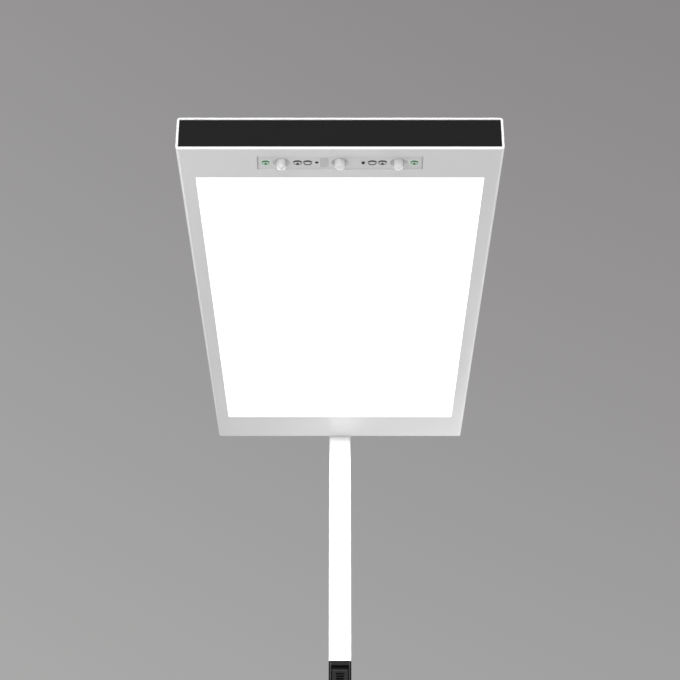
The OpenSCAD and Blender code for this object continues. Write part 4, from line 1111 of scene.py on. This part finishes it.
class LAMP_OT_control(bpy.types.Operator):
    """Build the black control module and its thumb slider"""
    bl_idname = "lamp.control"
    bl_label = "Control module"

    def execute(self, context):
        sizes = context.scene.lamp_control
        self.build_module(sizes)
        self.build_slider(sizes)
        return {"FINISHED"}

    def build_module(self, sizes):
        """Section of the pole as a wall between an outer and an inner grid, around and along Z.

        On the front, the outer grid is pushed in by the smaller of two ramps, one across and one along:
        each is the recess's depth inside, and falls to zero over the wall and the chamfer. At both ends
        the outer grid is drawn in a little, as a soft edge.
        """
        low, high = box_of("control_housing")
        slider_low, slider_high = layer_of("dimmer_slider", Y, -1)
        down, up = frame["joints"][0]["range_m"]
        chamfer, depth, wall = sizes.chamfer, sizes.recess_depth, sizes.wall
        half = sizes.recess_width / 2
        top = high[Z] - sizes.rim_above
        bottom = slider_low[Z] + down - sizes.end_gap
        stem = (slider_low[Z] + slider_high[Z]) / 2
        slot, slot_reach = 2.5 * MM, 4.3 * MM
        slot_low, slot_high = stem + down - slot_reach, stem + up + slot_reach

        columns = [s * x for x in (slot, half - TOUCH, half, half + chamfer) for s in (-1, 1)]
        count = len(columns)
        width, deep = high[X] - low[X], high[Y] - low[Y]
        corner = min(sizes.corner, width / 2 - half - chamfer - TOUCH)
        outer = rounded_outline(width, deep, corner, low_cuts=columns)
        cavity_front, cavity_corner = depth + 2 * MM, 0.8 * MM
        inner = rounded_outline(
            width - 2 * wall, deep - cavity_front - wall, cavity_corner, low_cuts=columns,
        )
        flat = width / 2 - wall - cavity_corner
        inner[:count, 0] = np.clip(inner[:count, 0], -flat, flat)
        inner[:, 1] += (cavity_front - wall) / 2

        edge, edge_inset = 0.25 * MM, 0.15 * MM
        from_end = edge * np.array([0, 1 / 3, 1, 1.5])
        recess = [bottom - chamfer, bottom, bottom + TOUCH, top - TOUCH, top, top + chamfer]
        levels = np.sort(np.r_[low[Z] + from_end, high[Z] - from_end, recess, slot_low, slot_high])
        middle = (low[Y] + high[Y]) / 2
        front = np.arange(len(outer)) < count
        across = np.interp(abs(outer[:, 0]), [half - TOUCH, half, half + chamfer], [depth, chamfer, 0.0])
        along = np.interp(levels, recess, [0.0, chamfer, depth, depth, chamfer, 0.0])
        push = np.minimum(across[:, None], along[None, :]) * front[:, None]
        inset = np.interp(
            levels, [low[Z], low[Z] + edge, high[Z] - edge, high[Z]], [edge_inset, 0.0, 0.0, edge_inset],
        )
        outer_grid = np.stack([
            outer[:, :1] * (1 - 2 * inset / width),
            middle + outer[:, 1:] * (1 - 2 * inset / deep) + push,
            np.repeat(levels[None, :], len(outer), 0),
        ], -1)
        inner_grid = np.stack([lifted(inner, z, (0.0, middle)) for z in levels], 1)

        mid_x = (outer + np.roll(outer, -1, 0))[:, 0] / 2
        mid_z = (levels[1:] + levels[:-1]) / 2
        in_slot = front & np.roll(front, -1) & (abs(mid_x) < slot)
        in_slot[count - 1] = False
        hole = in_slot[:, None] & ((mid_z > slot_low) & (mid_z < slot_high))[None, :]
        put_piece(
            "control_module", skin(outer_grid, inner_grid, ~hole, around=True), "black_plastic",
            ["control_housing"], finish="control", smooth=32.0,
        )

    def build_slider(self, sizes):
        """Thumb piece: a block whose front is a height field.

        The front is rounded off at its edge, dips in a shallow thumb hollow, and is pushed in by each
        groove: a slot with round ends, whose depth falls off smoothly over its side.
        """
        low, high = layer_of("dimmer_slider", Y, -1)
        stalk_end = box_of("dimmer_slider")[1][Y]
        width, height = high[X] - low[X], high[Z] - low[Z]
        centre = (low[Z] + high[Z]) / 2
        soft, dip, slope, thickness = 0.9 * MM, 0.35 * MM, 0.16 * MM, 3.6 * MM
        across = np.linspace(-width / 2, width / 2, 71)
        up = np.linspace(-height / 2, height / 2, 111)
        x, z = np.meshgrid(across, up, indexing="ij")
        edge = np.minimum(width / 2 - abs(x), height / 2 - abs(z))
        rounding = soft - np.sqrt(np.maximum(soft ** 2 - np.maximum(soft - edge, 0.0) ** 2, 0.0))
        hollow = dip * np.clip(1 - (x / (width * 0.42)) ** 2, 0, 1) * np.clip(
            1 - (z / (height * 0.46)) ** 2, 0, 1)
        groove = np.zeros_like(x)
        run = (sizes.groove_width - sizes.groove_height) / 2
        for k in range(sizes.grooves):
            line = (k - (sizes.grooves - 1) / 2) * sizes.groove_pitch
            away = np.hypot(np.maximum(abs(x) - run, 0.0), z - line)
            inside = np.clip((sizes.groove_height / 2 - away) / slope + 0.5, 0, 1)
            groove = np.maximum(groove, sizes.groove_depth * inside)
        back = low[Y] + thickness
        stalk_width, stalk_height, stalk_corner, overlap = 4.4 * MM, 8.0 * MM, 0.4 * MM, 0.5 * MM
        outer = np.stack([x, low[Y] + rounding + hollow + groove, z + centre], -1)
        inner = np.stack([x, np.full_like(x, back), z + centre], -1)
        plate = skin(outer, inner, np.ones((len(across) - 1, len(up) - 1), bool))
        stalk = bar(
            stalk_width, stalk_height, stalk_corner, back - overlap, stalk_end, (0.0, centre), 3,
        )
        put_piece(
            "thumb_slider", plate + stalk, "black_plastic", ["dimmer_slider"],
            finish="thumb", body=DIMMER, smooth=40.0,
        )


class LAMP_OT_pole(bpy.types.Operator):
    """Soften the pole's top cap and build its collar and cable gland"""
    bl_idname = "lamp.pole"
    bl_label = "Pole trims"

    def execute(self, context):
        sizes = context.scene.lamp_base
        soften("pole_top_cap", sizes.top_cap_edge)
        self.build_collar(sizes, context.scene.lamp_control.corner)
        self.build_gland(sizes)
        return {"FINISHED"}

    def build_collar(self, sizes, corner):
        """Ring around the pole's foot: outlines up to a rounded top, and back down inside."""
        low, high = box_of("pole_collar")
        pole_low, pole_high = box_of("lower_pole")
        centre = (low + high)[:2] / 2
        width, deep = (high - low)[:2]
        hole = pole_high[X] - pole_low[X] + sizes.collar_gap
        border = (width - hole) / 2
        outside = edge_levels(high[Z], low[Z], sizes.collar_edge, steps=6)[::-1]
        rings = plate_rings(width, deep, corner + border, outside, centre)
        rings += plate_rings(hole, hole + deep - width, corner, [(high[Z], 0), (low[Z], 0)], centre)
        put_piece("foot_collar", loft(rings, closed=True), "white_plastic", ["pole_collar"])

    def build_gland(self, sizes):
        """Bush turned about a line along Y: a domed head with grip ribs, and a barrel with a bore."""
        low, high = box_of("cable_gland")
        centre, face = (low + high) / 2, high[Y]
        head = (high[X] - low[X]) / 2
        flange, bore = 3.0 * MM, 3.6 * MM
        barrel = head - flange
        profile = np.array([
            (bore, face), (bore + 1.2 * MM, face), (head - 2.2 * MM, face - 0.25 * MM),
            (head - 0.7 * MM, face - 0.9 * MM), (head, face - 1.8 * MM), (head, face - flange),
            (barrel, face - flange), (barrel, low[Y]), (bore, low[Y]),
        ])

        def ribs(row, angle):
            grip = (row >= 3) & (row <= 5)
            return 1 - 0.045 * grip * (0.5 + 0.5 * np.cos(sizes.gland_ribs * angle))

        bush = turned(profile, (0.0, 0.0, 0.0), 144, closed=True, ribs=ribs)
        x, z, y = bush.points.T
        placed = Surface(np.c_[x + centre[X], y, z + centre[Z]], *bush.faces)
        put_piece("gland_bush", placed, "black_plastic", ["cable_gland"])


class LAMP_OT_base(bpy.types.Operator):
    """Soften the base plate and build the glides under it"""
    bl_idname = "lamp.base"
    bl_label = "Base"

    def execute(self, context):
        sizes = context.scene.lamp_base
        soften("base_plate", sizes.plate_edge, 3)
        self.build_glides(sizes)
        return {"FINISHED"}

    def build_glides(self, sizes):
        """Four turned pads: a shallow hollow below, a rounded rim, and a peg up into the plate."""
        low, high = box_of("glides")
        plate = box_of("base_plate")[0][Z]
        radius, soft, peg, chamfer = sizes.glide_radius, 1.0 * MM, 4.0 * MM, 0.5 * MM
        t = np.linspace(0, 1, 8)
        hollow = np.c_[radius * 0.86 * t, sizes.glide_hollow * (1 - t ** 2)]
        turn = np.linspace(0, np.pi / 2, 6)
        rim = np.c_[radius - soft * (1 - np.sin(turn)), soft * (1 - np.cos(turn))]
        profile = np.vstack([hollow, rim, [
            (radius, plate - 0.3 * MM), (radius - 0.3 * MM, plate), (peg, plate),
            (peg, high[Z] - chamfer), (peg - chamfer, high[Z]), (0.0, high[Z]),
        ]])
        places = [(x, y) for x in (low[X] + radius, high[X] - radius)
                  for y in (low[Y] + radius, high[Y] - radius)]
        pads = joined([turned(profile, (x, y, 0.0), 56) for x, y in places])
        put_piece("floor_glides", pads, "glide_rubber", ["glides"])


class LAMP_OT_stage(bpy.types.Operator):
    """Set up the floor, the backdrop, the lights and the camera"""
    bl_idname = "lamp.stage"
    bl_label = "Stage"

    # name, place, aim, size in metres, property with its watts, spread in radians, seen in gloss
    lights = (
        ("Front left light", (-2.2, -2.6, 2.8), (0, -0.2, 1.8), (1.2, 1.0), "front_power", WIDE, False),
        ("Front right light", (2.2, -2.6, 2.8), (0, -0.2, 1.8), (1.2, 1.0), "front_power", WIDE, False),
        ("Low light", (-0.3, -4.2, 0.9), (0, 0.2, 1.5), (2.8, 1.2), "low_power", 1.4, True),
        ("Left light", (-0.42, -0.55, 1.6), (-0.14, -0.25, 1.91), (0.4, 0.4), "left_power", WIDE, True),
        ("Rear left light", (-1.7, 1.9, 0.6), (-0.1, -0.27, 1.9), (1.6, 1.0), "rear_left_power", 1.6, True),
        ("Rear right light", (1.6, 3.7, 0.65), (0, 0.2, 1.9), (4.0, 1.2), "rear_power", 1.6, True),
        ("Top light", (1.2, 1.6, 4.2), (0, 0, 1.2), (2.4, 2.4), "top_power", WIDE, True),
    )

    def execute(self, context):
        scene, stage = context.scene, context.scene.lamp_stage
        low, high = box_of("head_housing")
        self.add_camera(scene, stage, low)
        self.add_floor(scene, stage)
        self.add_backdrop(scene, stage)
        panel_low, panel_high = layer_of("direct_panel", Z, -1)
        under = (*(low + high)[:2] / 2, low[Z] - 1 * MM)
        self.add_light(
            scene, "Panel light", under, (under[X], under[Y], 0.0), panel_high - panel_low,
            stage.panel_power, WIDE, True,
        )
        for name, place, aim, size, watts, spread, glossy in self.lights:
            self.add_light(scene, name, place, aim, size, getattr(stage, watts), spread, glossy)
        scene.view_settings.view_transform = "Standard"
        return {"FINISHED"}

    def add_camera(self, scene, stage, head_low):
        """Camera in front of and below the head's free end, looking up along +Y."""
        data = bpy.data.cameras.new("Camera")
        data.lens = stage.lens
        camera = bpy.data.objects.new("Camera", data)
        camera.location = (0.0, head_low[Y] - stage.camera_back, head_low[Z] - stage.camera_below)
        camera.rotation_euler = (math.pi / 2 + stage.pitch, 0.0, 0.0)
        scene.collection.objects.link(camera)
        scene.camera = camera

    def add_floor(self, scene, stage):
        """Flat round floor that fades to clear between two distances from the middle."""
        ring = lifted(circle_points(64) * stage.floor_radius, 0.0)
        mesh = bpy.data.meshes.new("Floor")
        mesh.from_pydata(ring.tolist(), [], [list(range(len(ring)))])
        made, graph = material("floor")
        place = graph.place()
        cloud = graph.noise(place, 3.0, detail=4.0)
        across, along, _ = graph.axes(place)
        reach = (across * across + along * along) ** 0.5
        fade = graph.node("ShaderNodeMapRange", {"interpolation_type": "SMOOTHSTEP"}, {
            "Value": reach, "From Min": stage.fade_start, "From Max": stage.fade_end,
            "To Min": 1.0, "To Max": 0.0,
        })
        base = graph.shades(stage.floor, 0.97, 1.03, cloud)
        graph.finish(base, 0.6 + cloud * 0.1, Alpha=fade)
        mesh.materials.append(made)
        floor = bpy.data.objects.new("Floor", mesh)
        scene.collection.objects.link(floor)

    def add_backdrop(self, scene, stage):
        """Grey all around, lighter towards the horizon and towards the left."""
        world = bpy.data.worlds.new("Backdrop")
        scene.world = world
        graph = Graph(world)
        where = graph.node("ShaderNodeTexCoord", output="Generated")
        side, _, up = graph.axes(where)
        shade = graph.blend((*stage.horizon, 1.0), (*stage.zenith, 1.0), up + side * stage.slant)
        light = graph.node("ShaderNodeBackground", None, {"Color": shade, "Strength": 1.0})
        graph.node("ShaderNodeOutputWorld", None, {"Surface": light})

    def add_light(self, scene, name, place, aim, size, power, spread, glossy):
        """Soft oblong light that isn't seen itself."""
        data = bpy.data.lights.new(name, "AREA")
        data.shape = "RECTANGLE"
        data.size, data.size_y = float(size[0]), float(size[1])
        data.energy = power
        data.spread = spread
        light = bpy.data.objects.new(name, data)
        light.location = place
        light.rotation_mode = "QUATERNION"
        light.rotation_quaternion = (Vector(aim) - Vector(place)).to_track_quat("-Z", "Y")
        light.visible_camera = False
        light.visible_glossy = glossy
        scene.collection.objects.link(light)


OPERATORS = (
    LAMP_OT_finishes, LAMP_OT_housing, LAMP_OT_panels, LAMP_OT_sensor_strip, LAMP_OT_marks,
    LAMP_OT_control, LAMP_OT_pole, LAMP_OT_base, LAMP_OT_stage,
)


class LAMP_PT_sidebar(bpy.types.Panel):
    """Buttons for the lamp's pieces, in the order in which they are made"""
    bl_idname = "LAMP_PT_sidebar"
    bl_label = "Office floor lamp"
    bl_space_type = "VIEW_3D"
    bl_region_type = "UI"
    bl_category = "Lamp"

    def draw(self, context):
        for operator in OPERATORS:
            self.layout.operator(operator.bl_idname)


def register():
    """Adds the classes and the scene's property groups."""
    for made in (*GROUPS.values(), *OPERATORS, LAMP_PT_sidebar):
        bpy.utils.register_class(made)
    for name, group in GROUPS.items():
        setattr(bpy.types.Scene, name, PointerProperty(type=group))


def unregister():
    """Removes what register added."""
    for name in GROUPS:
        delattr(bpy.types.Scene, name)
    for made in reversed((*GROUPS.values(), *OPERATORS, LAMP_PT_sidebar)):
        bpy.utils.unregister_class(made)


def main():
    """Builds the lamp and its stage."""
    register()
    for operator in OPERATORS:
        group, name = operator.bl_idname.split(".")
        getattr(getattr(bpy.ops, group), name)()


if __name__ == "__main__":
    main()
